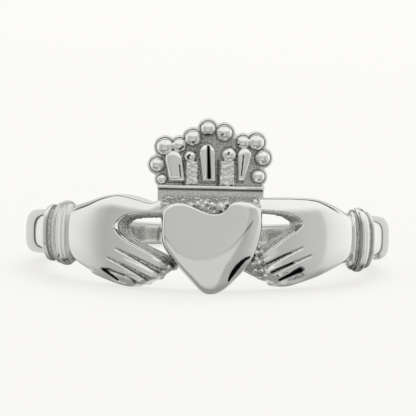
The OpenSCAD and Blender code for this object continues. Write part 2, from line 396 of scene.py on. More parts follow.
class Surface:
    """The points of a finished skin, for painting where casting and polish leave their marks, and painted
    shade.

    Attributes:
        obj: The object.
        co: Its points.
        normal: The way each of them faces.
        radius: How far each lies from the finger's axis.
        facing: How far each faces away from that axis, from -1 to 1.
        front: The x and height at which each shows from the front.
        cast: How much of the mould's roughness is left at each, from 0 to 1.
        oxide: How dark each is painted with shade and dark reflections.
        groove: How far each is sunk, as a share of a full groove.
    """

    def __init__(self, obj: bpy.types.Object) -> None:
        """Reads the object's points and normals.

        Args:
            obj: The object, still on the ring's own axis.
        """
        self.obj = obj
        self.co = points_of(obj.data)
        self.normal = points_of(obj.data, "normal")
        self.radius = np.hypot(self.co[:, 0], self.co[:, 1])
        radial = self.co[:, :2] / self.radius[:, None]
        self.facing = (self.normal[:, :2] * radial).sum(1)
        self.front = self.co[:, [0, 2]]
        self.cast, self.oxide, self.groove = np.zeros((3, len(self.co)), np.float32)

    def turn(self) -> Points:
        """Returns each point's angle from the heart in radians, the same on either side."""
        return np.arctan2(np.abs(self.co[:, 0]), -self.co[:, 1])

    def near(self, path: Rows, half: float, end_half: float | None = None) -> Points:
        """Says how near each point lies to a line, as seen from the front.

        Args:
            path: The line's corners.
            half: Half the line's width at its start.
            end_half: Half its width at its end, if that differs.

        Returns:
            1 on the line and 0 from its edge on.
        """
        corners = np.array(path, float)
        widths = np.linspace(half, half if end_half is None else end_half, len(corners))
        best = np.zeros(len(self.front))
        for i in range(len(corners) - 1):
            start, way = corners[i], corners[i + 1] - corners[i]
            share = np.clip(((self.front - start) @ way) / (way @ way), 0, 1)
            away = np.linalg.norm(self.front - start - share[:, None] * way, axis=1)
            width = widths[i] + share * (widths[i + 1] - widths[i])
            best = np.maximum(best, 1 - step_between(FULL, 1.0, away / width))
        return best

    def mark(self, where: Points, cast: float = 0.0, oxide: float = 0.0, groove: float = 0.0) -> None:
        """Marks points, each up to the strongest mark it has taken.

        Args:
            where: How far each point takes the marks, from 0 to 1.
            cast: How much of the mould's roughness is left there.
            oxide: How dark shade and dark reflections are painted there.
            groove: How far it is sunk there, as a share of a full groove.
        """
        self.cast = np.maximum(self.cast, cast * where)
        self.oxide = np.maximum(self.oxide, oxide * where)
        self.groove = np.maximum(self.groove, groove * where)

    def write(self) -> None:
        """Stores the marks as the attributes that the finish reads."""
        for name, values in (("cast", self.cast), ("oxide", self.oxide)):
            attribute = self.obj.data.attributes.new(name, "FLOAT", "POINT")
            attribute.data.foreach_set("value", values.astype(np.float32))

    def weigh(self, name: str, values: Points) -> None:
        """Stores values as a vertex group.

        Args:
            name: The group's name.
            values: Each point's weight.
        """
        group = self.obj.vertex_groups.new(name=name)
        steps = np.round(values * SHADES).astype(int)
        for level in range(1, SHADES + 1):
            chosen = np.nonzero(steps == level)[0]
            if len(chosen):
                group.add(chosen.tolist(), level / SHADES, "REPLACE")


def sink_and_roughen(
    surface: Surface, depth: float = 0.0, lumps: float = 0.0, lump_size: float = 0.1
) -> None:
    """Presses the grooves in and raises the mould's lumps on the rough places.

    Args:
        surface: The marked skin.
        depth: How deep a full groove is.
        lumps: How high the lumps of a rough place are.
        lump_size: How wide they are.
    """
    obj = surface.obj
    if surface.groove.any():
        surface.weigh("groove", surface.groove)
        apply_modifier(obj, "DISPLACE", vertex_group="groove", strength=-depth, mid_level=0.0)
    if surface.cast.any() and lumps:
        surface.weigh("cast", surface.cast)
        grain = bpy.data.textures.new("mould_lumps", "CLOUDS")
        grain.noise_scale = lump_size
        grain.noise_depth = 1
        apply_modifier(
            obj, "DISPLACE", texture=grain, texture_coords="LOCAL",
            vertex_group="cast", strength=lumps, mid_level=0.5,
        )
    for group in list(obj.vertex_groups):
        obj.vertex_groups.remove(group)


def leave_rough(obj: bpy.types.Object, cast: float, lumps: float, lump_size: float) -> None:
    """Leaves a whole piece as it came out of the mould, where no buff reaches.

    Args:
        obj: The piece.
        cast: How much of the mould's roughness is left on it.
        lumps: How high its lumps are.
        lump_size: How wide they are.
    """
    surface = Surface(obj)
    surface.mark(np.ones(len(surface.co)), cast=cast)
    surface.write()
    sink_and_roughen(surface, lumps=lumps, lump_size=lump_size)
    shade_smooth(obj)


def press_to_finger(obj: bpy.types.Object, reach: float = 0.05) -> None:
    """Presses what lies at the finger hole's wall onto that wall.

    Args:
        obj: The object, still on the ring's own axis.
        reach: How far from the wall a point still counts as lying at it.
    """
    co = points_of(obj.data)
    radius = np.hypot(co[:, 0], co[:, 1])
    inside = radius < BORE_R + reach
    co[inside, :2] *= (BORE_R / radius[inside])[:, None]
    move_points(obj.data, co)


@dataclass(frozen=True)
class Seat:
    """Where the ring lies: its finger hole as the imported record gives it.

    Attributes:
        place: The hole's middle, in metres.
        axis: The way in which it points.
    """

    place: tuple[float, float, float]
    axis: tuple[float, float, float]

    def matrix(self) -> Matrix:
        """Returns the matrix from millimetres in the ring's frame to metres as it lies."""
        tilt = math.atan2(self.axis[1], self.axis[2])
        return Matrix.Translation(self.place) @ Matrix.Rotation(-tilt, 4, "X") @ Matrix.Scale(MM, 4)

    def lay(self, obj: bpy.types.Object) -> None:
        """Moves a finished piece to its place and leaves its object at the origin.

        Args:
            obj: The piece.
        """
        pick(obj)
        obj.matrix_world = self.matrix()
        bpy.ops.object.transform_apply(location=True, rotation=True, scale=True)


def linear(hex_colour: str) -> tuple[float, float, float, float]:
    """Turns an sRGB colour to linear values.

    Args:
        hex_colour: The colour, such as #e8e6e1.

    Returns:
        Its red, green and blue, and a full alpha.
    """
    made = []
    for i in (1, 3, 5):
        value = int(hex_colour[i : i + 2], 16) / 255
        made.append(value / 12.92 if value <= 0.04045 else ((value + 0.055) / 1.055) ** 2.4)
    return made[0], made[1], made[2], 1.0


def add_node(
    tree: bpy.types.NodeTree, kind: str, inputs: dict[str | int, object] | None = None, **settings: object
) -> bpy.types.Node:
    """Adds a node with its settings and links.

    Args:
        tree: The node tree.
        kind: The node's type.
        inputs: A value, or the socket that feeds it, for each input by name or number.
        settings: The node's properties by name.

    Returns:
        The node.
    """
    node = tree.nodes.new(kind)
    for name, value in settings.items():
        setattr(node, name, value)
    for name, value in (inputs or {}).items():
        if isinstance(value, bpy.types.NodeSocket):
            tree.links.new(value, node.inputs[name])
        else:
            node.inputs[name].default_value = value
    return node


# Sockets of a Mix node for colours, whose names its other kinds share
MIX_SHARE, MIX_FIRST, MIX_SECOND, MIXED = 0, 6, 7, 2


@dataclass(frozen=True)
class CastSilver:
    """Sterling silver cast in plaster and polished where a buff reaches.

    A polished face mirrors its surroundings with the faint unevenness of hand buffing. Recesses
    keep the mould's grain, which scatters the light and looks greyer, and painted shade and
    painted dark reflections turn lines, outlines and hollows towards black.

    Attributes:
        name: The material's name.
        polished: Colour of the polished metal.
        grained: Colour between the specks of the mould's grain.
        shade_black: Colour of the tarnish.
        polished_roughness: How matt the polished metal is.
        grained_roughness: How matt the grain is.
        buffing_mm: Spacing of the buffing's unevenness.
        buffing_depth_mm: Its depth.
        buffing_strength: How much of that depth is drawn.
        grain_mm: Spacing of the mould's grain, drawn coarser than the real one so that it shows.
        grain_depth_mm: The grain's depth.
        speckle_from: Height in the grain up to which it is grey, as a share.
        speckle_to: Height from which it is bright.
    """

    name: str
    polished: str = "#f3f3f1"
    grained: str = "#787876"
    shade_black: str = "#0b0b0b"
    polished_roughness: float = 0.07
    grained_roughness: float = 0.33
    buffing_mm: float = 1.1
    buffing_depth_mm: float = 0.06
    buffing_strength: float = 0.12
    grain_mm: float = 0.075
    grain_depth_mm: float = 0.09
    speckle_from: float = 0.34
    speckle_to: float = 0.54

    def material(self) -> bpy.types.Material:
        """Builds the material.

        Returns:
            The material, which reads a piece's cast marks and its painted shade.
        """
        made = bpy.data.materials.new(self.name)
        made.use_nodes = True
        tree = made.node_tree
        tree.nodes.clear()
        place = add_node(tree, "ShaderNodeTexCoord").outputs["Object"]
        cast, oxide = (
            add_node(tree, "ShaderNodeAttribute", attribute_name=mark).outputs["Fac"]
            for mark in ("cast", "oxide")
        )
        grain = add_node(
            tree, "ShaderNodeTexNoise",
            {"Vector": place, "Scale": 1 / (self.grain_mm * MM), "Detail": 2.0, "Roughness": 0.6},
        ).outputs["Fac"]
        buffing = add_node(
            tree, "ShaderNodeTexNoise",
            {"Vector": place, "Scale": 1 / (self.buffing_mm * MM), "Detail": 1.0},
        ).outputs["Fac"]
        speckle = add_node(
            tree, "ShaderNodeMapRange",
            {"Value": grain, "From Min": self.speckle_from, "From Max": self.speckle_to},
        ).outputs["Result"]
        bright, depth = (
            add_node(tree, "ShaderNodeMath", {0: cast, 1: other}, operation="MULTIPLY").outputs["Value"]
            for other in (speckle, grain)
        )
        grained, polished, shade_black = linear(self.grained), linear(self.polished), linear(self.shade_black)
        rough_tone = add_node(
            tree, "ShaderNodeMix", {MIX_SHARE: bright, MIX_FIRST: grained, MIX_SECOND: polished},
            data_type="RGBA",
        ).outputs[MIXED]
        metal_tone = add_node(
            tree, "ShaderNodeMix", {MIX_SHARE: cast, MIX_FIRST: polished, MIX_SECOND: rough_tone},
            data_type="RGBA",
        ).outputs[MIXED]
        # Painted shade: where shade and dark reflections are painted, the colour turns towards black
        tone = add_node(
            tree, "ShaderNodeMix", {MIX_SHARE: oxide, MIX_FIRST: metal_tone, MIX_SECOND: shade_black},
            data_type="RGBA",
        ).outputs[MIXED]
        roughness = add_node(
            tree, "ShaderNodeMapRange",
            {"Value": cast, "To Min": self.polished_roughness, "To Max": self.grained_roughness},
        ).outputs["Result"]
        uneven = add_node(
            tree, "ShaderNodeBump",
            {"Height": buffing, "Strength": self.buffing_strength, "Distance": self.buffing_depth_mm * MM},
        ).outputs["Normal"]
        bump = add_node(
            tree, "ShaderNodeBump",
            {"Height": depth, "Strength": 1.0, "Distance": self.grain_depth_mm * MM, "Normal": uneven},
        ).outputs["Normal"]
        shader = add_node(
            tree, "ShaderNodeBsdfPrincipled",
            {"Base Color": tone, "Metallic": 1.0, "Roughness": roughness, "Normal": bump},
        )
        add_node(tree, "ShaderNodeOutputMaterial", {"Surface": shader.outputs["BSDF"]})
        return made


# How far over the finger hole's wall a painted dark reflection on the outside begins
OUTSIDE = 0.3
# Painted dark reflections where the band leaves the right cuff, each from x and height to x and height
BAND_STROKES = (
    ((9.12, -1.16), (9.24, -0.98)), ((9.22, -1.24), (9.36, -1.02)), ((9.34, -1.18), (9.46, -0.92)),
    ((9.44, -1.20), (9.56, -0.98)), ((9.30, -0.98), (9.40, -0.82)),
)


@dataclass
class Band:
    """The hoop behind the cuffs, which narrows and thins towards its back.

    Attributes:
        side_t: Its thickness at the cuffs.
        back_t: Its thickness at the back.
        side_h: Its height at the cuffs.
        back_h: Its height at the back.
        from_angle: The angle from the heart at which it begins, in degrees.
        level_share: How far in front of the finger's axis it begins to narrow, as a share of its radius.
        steps: How many sections it has.
        dome_points: How many points the outside of a section has.
        dome_power: How square the outside is, from 2 for a round one.
        waist_share: Share of its thickness at which a section is widest.
        corner: The rounding where the outside meets the finger hole: out from the wall, in from the edge.
        stroke_half: Half the width of a painted dark reflection at its start and at its end.
    """

    side_t: float = 1.4
    back_t: float = 1.15
    side_h: float = 2.42
    back_h: float = 1.16
    from_angle: float = 55.0
    level_share: float = 0.3
    steps: int = 110
    dome_points: int = 23
    dome_power: float = 3.0
    waist_share: float = 0.45
    corner: Rows = ((0.0, 0.09), (0.03, 0.03), (0.1, 0.0))
    stroke_half: tuple[float, float] = (0.06, 0.03)

    def outer_radius(self, angle: float) -> float:
        """Works out where the outer face lies.

        Args:
            angle: The angle from the heart in degrees.

        Returns:
            The outer face's radius there.
        """
        shift = self.side_t - self.back_t
        turn = math.radians(angle)
        hoop = BORE_R + self.side_t
        return shift * math.cos(turn) + math.sqrt(hoop * hoop - (shift * math.sin(turn)) ** 2)

    def half_height(self, angle: float) -> float:
        """Works out how high the band is, from an arc that leads to its low back.

        Args:
            angle: The angle from the heart in degrees.

        Returns:
            Half the band's height there.
        """
        hoop = BORE_R + self.side_t
        level = -self.level_share * hoop
        drop = (self.side_h - self.back_h) / 2
        length = BORE_R + self.back_t - level
        bend = (length * length + drop * drop) / (2 * drop)
        depth = -self.outer_radius(angle) * math.cos(math.radians(angle)) - level
        return self.side_h / 2 - bend + math.sqrt(bend * bend - depth * depth)

    def section(self, angle: float) -> Points:
        """Draws the band's section: level inside, a flat dome with round shoulders outside.

        Args:
            angle: The angle from the heart in degrees.

        Returns:
            The section's points.
        """
        half, outer = self.half_height(angle), self.outer_radius(angle)
        waist = BORE_R + self.waist_share * (outer - BORE_R)
        made = [(BORE_R + out, half - down) for out, down in self.corner]
        for turn in np.linspace(math.pi / 2, -math.pi / 2, self.dome_points):
            rise, spread = soft(math.cos(turn), self.dome_power), soft(math.sin(turn), self.dome_power)
            made.append((waist + rise * (outer - waist), spread * half))
        made += [(BORE_R + out, up - half) for out, up in reversed(self.corner)]
        made += [(BORE_R, share * half) for share in (-0.5, 0.0, 0.5)]
        return np.array([seat_at(angle, height, radius) for radius, height in made])

    def build(self) -> bpy.types.Object:
        """Models the band.

        Returns:
            The finished band.
        """
        angles = np.linspace(self.from_angle, 360 - self.from_angle, self.steps)
        made = skin("band", [self.section(angle) for angle in angles])
        apply_modifier(made, "SUBSURF", levels=2, render_levels=2)
        shade_smooth(made)
        surface = Surface(made)
        shown = (surface.co[:, 1] < 0) & (surface.radius > BORE_R + OUTSIDE)
        # Painted dark reflections, black strokes on the band's outside
        for path in BAND_STROKES:
            surface.mark(surface.near(path, *self.stroke_half) * shown, oxide=1.0)
        surface.write()
        return made


# Cuff, from the hand outwards: share of its arc, height as a share of the cuff's, thickness as
# a share of the cuff's
CUFF = {
    Side.LEFT: (
        (0.00, 0.68, 0.70), (0.02, 0.80, 0.84), (0.05, 0.87, 0.90), (0.085, 0.88, 0.885),
        (0.12, 0.93, 0.955), (0.18, 0.985, 0.995), (0.235, 0.99, 0.985), (0.29, 1.00, 1.00),
        (0.35, 0.995, 0.98), (0.41, 0.985, 0.99), (0.445, 0.96, 0.965), (0.475, 0.94, 0.89),
        (0.51, 0.945, 0.955), (0.56, 0.935, 0.965), (0.60, 0.90, 0.89), (0.64, 0.86, 0.83),
        (0.75, 0.83, 0.82), (0.80, 0.86, 0.87), (0.85, 0.88, 0.945), (0.91, 0.87, 0.945),
        (0.96, 0.80, 0.86), (1.00, 0.68, 0.72),
    ),
    Side.RIGHT: (
        (0.00, 0.70, 0.72), (0.03, 0.86, 0.88), (0.07, 0.92, 0.93), (0.12, 0.93, 0.92),
        (0.16, 0.92, 0.86), (0.28, 0.94, 0.87), (0.33, 0.96, 0.89), (0.37, 0.985, 0.975),
        (0.44, 1.00, 1.00), (0.53, 0.995, 1.025), (0.60, 0.97, 0.99), (0.64, 0.93, 0.88),
        (0.67, 0.90, 0.85), (0.80, 0.87, 0.84), (0.84, 0.88, 0.89), (0.89, 0.89, 0.95),
        (0.94, 0.88, 0.94), (0.98, 0.80, 0.82), (1.00, 0.70, 0.72),
    ),
}
# Where a cuff begins and how far it reaches, in degrees from the heart, and its middle's height
CUFF_PLACES = {Side.LEFT: (43.3, 16.5, -0.06), Side.RIGHT: (48.2, 12.0, -0.11)}
# Rough grooves of the cuffs, and the fine lines of painted shade beside a ridge, as shares of the arc
CUFF_GROOVES = {Side.LEFT: ((0.605, 0.81),), Side.RIGHT: ((0.15, 0.335), (0.645, 0.845))}
CUFF_LINES = {Side.LEFT: (0.0, 0.085, 0.475, 0.61, 0.805), Side.RIGHT: (0.0, 0.345, 0.64, 0.85)}
# Painted dark reflections at the cuffs' lower ends, each from x and height to x and height
CUFF_STROKES = {
    Side.LEFT: (
        ((7.94, -1.26), (7.98, -1.38)), ((7.45, -1.50), (7.62, -1.44)), ((7.62, -1.56), (7.74, -1.50)),
    ),
    Side.RIGHT: (
        ((7.36, -1.62), (7.52, -1.48)), ((7.44, -1.74), (7.66, -1.56)), ((7.56, -1.84), (7.80, -1.66)),
        ((7.72, -1.60), (7.86, -1.46)), ((7.90, -1.78), (8.02, -1.62)), ((8.30, -1.62), (8.38, -1.48)),
    ),
}


@dataclass
class Cuff:
    """A turned-back sleeve: ridges with a rough groove between them, wrapped over the wrist.

    Attributes:
        side: The hand's side.
        from_angle: Where it begins, in degrees from the heart.
        arc: How far it reaches, in degrees.
        middle: Its middle's height.
        height: Its height at its highest ridge.
        thickness: How far that ridge stands over the finger hole's wall.
        shape: How its section is shaped.
        straightening: How far the ridges' low ends are turned back.
        straight_rise: How far over the finger hole's wall a ridge stays as it is.
        line: Distances from a fine line of painted shade at which it begins and is full, as shares of the
            arc.
        stroke_half: Half the width of a painted dark reflection at its start and at its end.
        under: Heights between which its underside becomes rough and takes a little painted shade.
    """

    side: Side
    from_angle: float
    arc: float
    middle: float
    height: float = 3.5
    thickness: float = 1.98
    shape: Limb = field(default_factory=lambda: Limb(foot_width=0.8, foot_lean=0.9, tip=0.04, top_points=29))
    straightening: float = 0.55
    straight_rise: float = 1.8
    line: tuple[float, float] = (0.022, 0.01)
    stroke_half: tuple[float, float] = (0.06, 0.04)
    under: tuple[float, float] = (-1.25, -1.6)

    def build(self) -> bpy.types.Object:
        """Models the cuff.

        Returns:
            The finished cuff, on its own side.
        """
        rows = [
            (
                self.from_angle + place * self.arc, self.middle,
                height * self.height / 2, BORE_R + rise * self.thickness,
            )
            for place, height, rise in CUFF[self.side]
        ]
        made = skin(f"cuff_{self.side.name.lower()}", self.shape.sections(through(rows, 3)))
        apply_modifier(made, "SUBSURF", levels=1, render_levels=1)
        self.straighten(made)
        mirror(made, self.side)
        shade_smooth(made)
        surface = Surface(made)
        self.mark(surface)
        surface.write()
        return made

    def straighten(self, obj: bpy.types.Object) -> None:
        """Turns the ridges' low ends back so that the hand's side looks straight from the front.

        Args:
            obj: The cuff, while it is on the right.
        """
        surface = Surface(obj)
        turn = surface.turn()
        share = (np.degrees(turn) - self.from_angle) / self.arc
        low = np.clip(BORE_R + self.straight_rise - surface.radius, 0, None) / surface.radius
        turn += self.straightening * low * np.tan(turn) * np.clip(1 - share, 0, 1) ** 2
        surface.co[:, 0] = surface.radius * np.sin(turn)
        surface.co[:, 1] = -surface.radius * np.cos(turn)
        move_points(obj.data, surface.co)

    def mark(self, surface: Surface) -> None:
        """Marks the rough grooves and underside, both with a little painted shade, the fine lines of painted
        shade and the painted dark reflections.

        Args:
            surface: The cuff's surface, on its own side.
        """
        surface.front[:, 0] *= self.side.value
        share = (np.degrees(surface.turn()) - self.from_angle) / self.arc
        # The grooves are rough, with a little painted shade
        for start, end in CUFF_GROOVES[self.side]:
            begun = step_between(start - 0.01, start + 0.02, share)
            surface.mark(begun * step_between(end + 0.01, end - 0.02, share), cast=0.8, oxide=0.05)
        # Fine lines of painted shade in the creases beside the ridges
        for place in CUFF_LINES[self.side]:
            surface.mark(step_between(*self.line, np.abs(share - place)), oxide=0.5)
        # Painted dark reflections at the lower ends
        for path in CUFF_STROKES[self.side]:
            shown = surface.radius > BORE_R + OUTSIDE
            surface.mark(surface.near(path, *self.stroke_half) * shown, oxide=1.0)
        # The underside is rough, with a little painted shade
        off_finger = step_between(BORE_R, BORE_R + OUTSIDE, surface.radius)
        surface.mark(step_between(*self.under, surface.co[:, 2]) * off_finger, cast=0.75, oxide=0.1)
        if self.side is Side.LEFT:
            # The left cuff's ridges beside the hand are a little duller
            surface.mark(step_between(0.6, 0.55, share), cast=0.2)


def mirror(obj: bpy.types.Object, side: Side) -> None:
    """Mirrors a piece modelled on the right to its own side.

    Args:
        obj: The piece.
        side: The side that it belongs on.
    """
    if side is Side.LEFT:
        pick(obj)
        obj.scale = (-1, 1, 1)
        bpy.ops.object.transform_apply(location=False, rotation=False, scale=True)
        with editing(obj):
            bpy.ops.mesh.select_all(action="SELECT")
            bpy.ops.mesh.normals_make_consistent(inside=False)


# Edges of a hand from the cuff to the heart: x, height of the top, height of the bottom,
# thickness as a share of the hand's
EDGES = {
    Side.LEFT: (
        (7.75, 1.12, -1.12, 0.72), (7.45, 1.27, -1.27, 0.84), (7.05, 1.42, -1.45, 0.91),
        (6.32, 1.65, -1.92, 0.96), (5.51, 1.93, -2.36, 0.99), (4.71, 2.06, -2.66, 0.97),
        (3.90, 1.90, -2.74, 0.93), (3.30, 1.72, -2.66, 0.89), (2.90, 1.64, -2.50, 0.86),
        (2.50, 1.78, -2.26, 0.82), (2.00, 1.80, -1.90, 0.78),
    ),
    Side.RIGHT: (
        (7.75, 1.12, -1.12, 0.72), (7.40, 1.27, -1.30, 0.84), (7.05, 1.44, -1.47, 0.91),
        (6.46, 1.76, -1.80, 0.96), (5.64, 2.03, -2.22, 0.99), (4.61, 2.06, -2.54, 0.97),
        (3.76, 2.05, -2.50, 0.93), (3.23, 2.03, -2.36, 0.89), (2.66, 2.02, -2.14, 0.84),
        (2.00, 2.00, -1.85, 0.78),
    ),
}
# Fingers from the palm to the heart, one row of places each: x, height, half the width,
# thickness as a share of the hand's
FINGERS = {
    Side.LEFT: (
        (
            (6.00, -0.10, 0.50, 0.87), (5.30, -0.36, 0.42, 0.92), (4.60, -0.66, 0.33, 0.945),
            (3.90, -1.00, 0.30, 0.92), (3.30, -1.27, 0.31, 0.885), (2.70, -1.50, 0.32, 0.855),
            (2.25, -1.64, 0.30, 0.84), (1.88, -1.70, 0.24, 0.81),
        ),
        (
            (5.60, -0.95, 0.30, 0.89), (4.90, -1.20, 0.27, 0.94), (4.20, -1.48, 0.26, 0.96),
            (3.60, -1.75, 0.25, 0.93), (3.05, -2.03, 0.24, 0.89), (2.68, -2.26, 0.21, 0.84),
        ),
        (
            (5.60, -1.50, 0.26, 0.88), (5.00, -1.74, 0.23, 0.91), (4.40, -2.04, 0.22, 0.90),
            (3.80, -2.34, 0.21, 0.88), (3.35, -2.56, 0.19, 0.83),
        ),
        (
            (5.80, -2.02, 0.20, 0.80), (5.20, -2.28, 0.19, 0.82), (4.70, -2.48, 0.18, 0.81),
            (4.20, -2.64, 0.17, 0.80), (3.90, -2.71, 0.15, 0.76),
        ),
    ),
    Side.RIGHT: (
        (
            (6.00, 0.10, 0.45, 0.87), (5.30, -0.05, 0.36, 0.92), (4.70, -0.30, 0.32, 0.945),
            (4.10, -0.68, 0.31, 0.945), (3.50, -1.06, 0.30, 0.915), (2.85, -1.50, 0.28, 0.87),
        ),
        (
            (5.90, -0.55, 0.26, 0.89), (5.20, -0.83, 0.24, 0.94), (4.50, -1.17, 0.24, 0.94),
            (3.90, -1.49, 0.23, 0.93), (3.30, -1.82, 0.22, 0.88), (3.00, -1.98, 0.20, 0.84),
        ),
        (
            (5.90, -1.15, 0.26, 0.88), (5.20, -1.45, 0.25, 0.91), (4.60, -1.72, 0.24, 0.90),
            (4.00, -1.98, 0.22, 0.88), (3.60, -2.16, 0.20, 0.83),
        ),
        (
            (5.80, -1.78, 0.22, 0.82), (5.20, -2.06, 0.21, 0.84), (4.60, -2.32, 0.20, 0.82),
            (4.10, -2.50, 0.18, 0.81), (3.75, -2.54, 0.16, 0.76),
        ),
    ),
}
# The opening between thumb and fingers, round its edge: x and height outside, then x and height
# on the finger's side
OPENING = {
    Side.LEFT: (
        (5.00, 0.38, 4.12, 0.37), (4.78, 0.74, 3.98, 0.60), (4.42, 0.98, 3.70, 0.74),
        (3.62, 1.12, 3.05, 0.82), (2.60, 1.12, 2.30, 0.83), (1.60, 1.10, 1.50, 0.83),
        (1.60, -2.05, 1.50, -1.25), (2.45, -1.52, 2.08, -1.08), (3.10, -1.12, 2.60, -0.84),
        (3.70, -0.80, 3.10, -0.62), (4.30, -0.46, 3.62, -0.40), (4.82, -0.02, 4.00, -0.08),
    ),
    Side.RIGHT: (
        (5.08, 0.68, 4.38, 0.68), (4.87, 0.95, 4.18, 0.88), (4.41, 1.16, 3.80, 1.06),
        (3.80, 1.27, 3.25, 1.14), (2.90, 1.31, 2.45, 1.17), (1.60, 1.31, 1.40, 1.17),
        (1.60, -2.15, 1.40, -1.30), (2.60, -1.44, 2.20, -0.90), (3.24, -0.90, 2.75, -0.56),
        (3.80, -0.48, 3.25, -0.28), (4.35, -0.02, 3.75, 0.02), (4.85, 0.38, 4.22, 0.36),
    ),
}
# Lines of painted shade along the opening's walls: how far over the finger hole's wall, and how dark
WALL_LINES = ((1.42, 0.85), (0.95, 0.7), (0.35, 0.8))
# How far from the middle the metal beside the heart is rough
HEART_SIDE = {Side.LEFT: 2.25, Side.RIGHT: 2.95}


@dataclass(frozen=True)
class Stroke:
    """A line drawn on the surface, and its marks: a groove that the chaser left in the wax, painted shade and
    painted dark reflections.

    Attributes:
        path: The line's corners, each as its distance from the middle and its height.
        half: Half its width at its start.
        end_half: Half its width at its end.
        cast: How much of the mould's roughness is left in it.
        oxide: How dark shade and dark reflections are painted along it.
        groove: How far it is sunk, as a share of a full groove.
    """

    path: tuple[tuple[float, float], ...]
    half: float
    end_half: float
    cast: float = 0.0
    oxide: float = 0.0
    groove: float = 0.0


# Grooves between the fingers, and the painted dark reflections and painted shade beside them
STROKES = {
    Side.LEFT: (
        Stroke(((4.85, -0.84), (3.6, -1.42), (2.36, -2.05)), 0.05, 0.18, cast=0.9, groove=0.9),
        Stroke(((5.31, -1.32), (4.2, -1.85), (2.95, -2.5)), 0.05, 0.18, cast=0.9, groove=0.9),
        Stroke(((5.45, -1.97), (4.34, -2.27), (3.6, -2.72)), 0.04, 0.13, cast=0.9, groove=0.85),
        Stroke(((5.52, -1.98), (5.1, -2.26), (4.72, -2.52)), 0.13, 0.09, oxide=1.0, groove=0.5),
        Stroke(((5.5, -1.95), (5.2, -1.94), (4.4, -2.27)), 0.06, 0.05, oxide=1.0, groove=0.3),
        # Painted shade in the gap between the heart and the fingertip
        Stroke(((2.06, -1.36), (1.58, -1.90)), 0.10, 0.10, oxide=1.0, groove=0.3),
        Stroke(((4.30, -1.14), (3.4, -1.62), (2.42, -2.16)), 0.02, 0.05, oxide=0.75),
        Stroke(((4.60, -1.70), (3.7, -2.18), (3.02, -2.60)), 0.02, 0.05, oxide=0.75),
        Stroke(((4.10, -2.42), (3.66, -2.80)), 0.03, 0.05, oxide=0.75),
    ),
    Side.RIGHT: (
        Stroke(((5.07, -0.58), (4.1, -1.05), (3.13, -1.62)), 0.05, 0.17, cast=0.9, groove=0.9),
        Stroke(((4.5, -0.86), (3.9, -1.15), (3.14, -1.58)), 0.05, 0.08, oxide=1.0, groove=0.3),
        Stroke(((5.53, -0.99), (4.5, -1.47), (3.5, -1.98)), 0.05, 0.17, cast=0.9, groove=0.9),
        Stroke(((4.58, -1.43), (4.0, -1.72), (3.47, -2.0)), 0.11, 0.10, oxide=1.0, groove=0.4),
        Stroke(
            ((4.98, -1.80), (4.72, -1.92), (4.4, -2.10), (3.87, -2.36)), 0.24, 0.10, oxide=1.0, groove=0.5
        ),
        Stroke(((5.10, -2.02), (4.62, -2.24)), 0.09, 0.08, cast=1.0, oxide=0.15, groove=0.2),
    ),
}


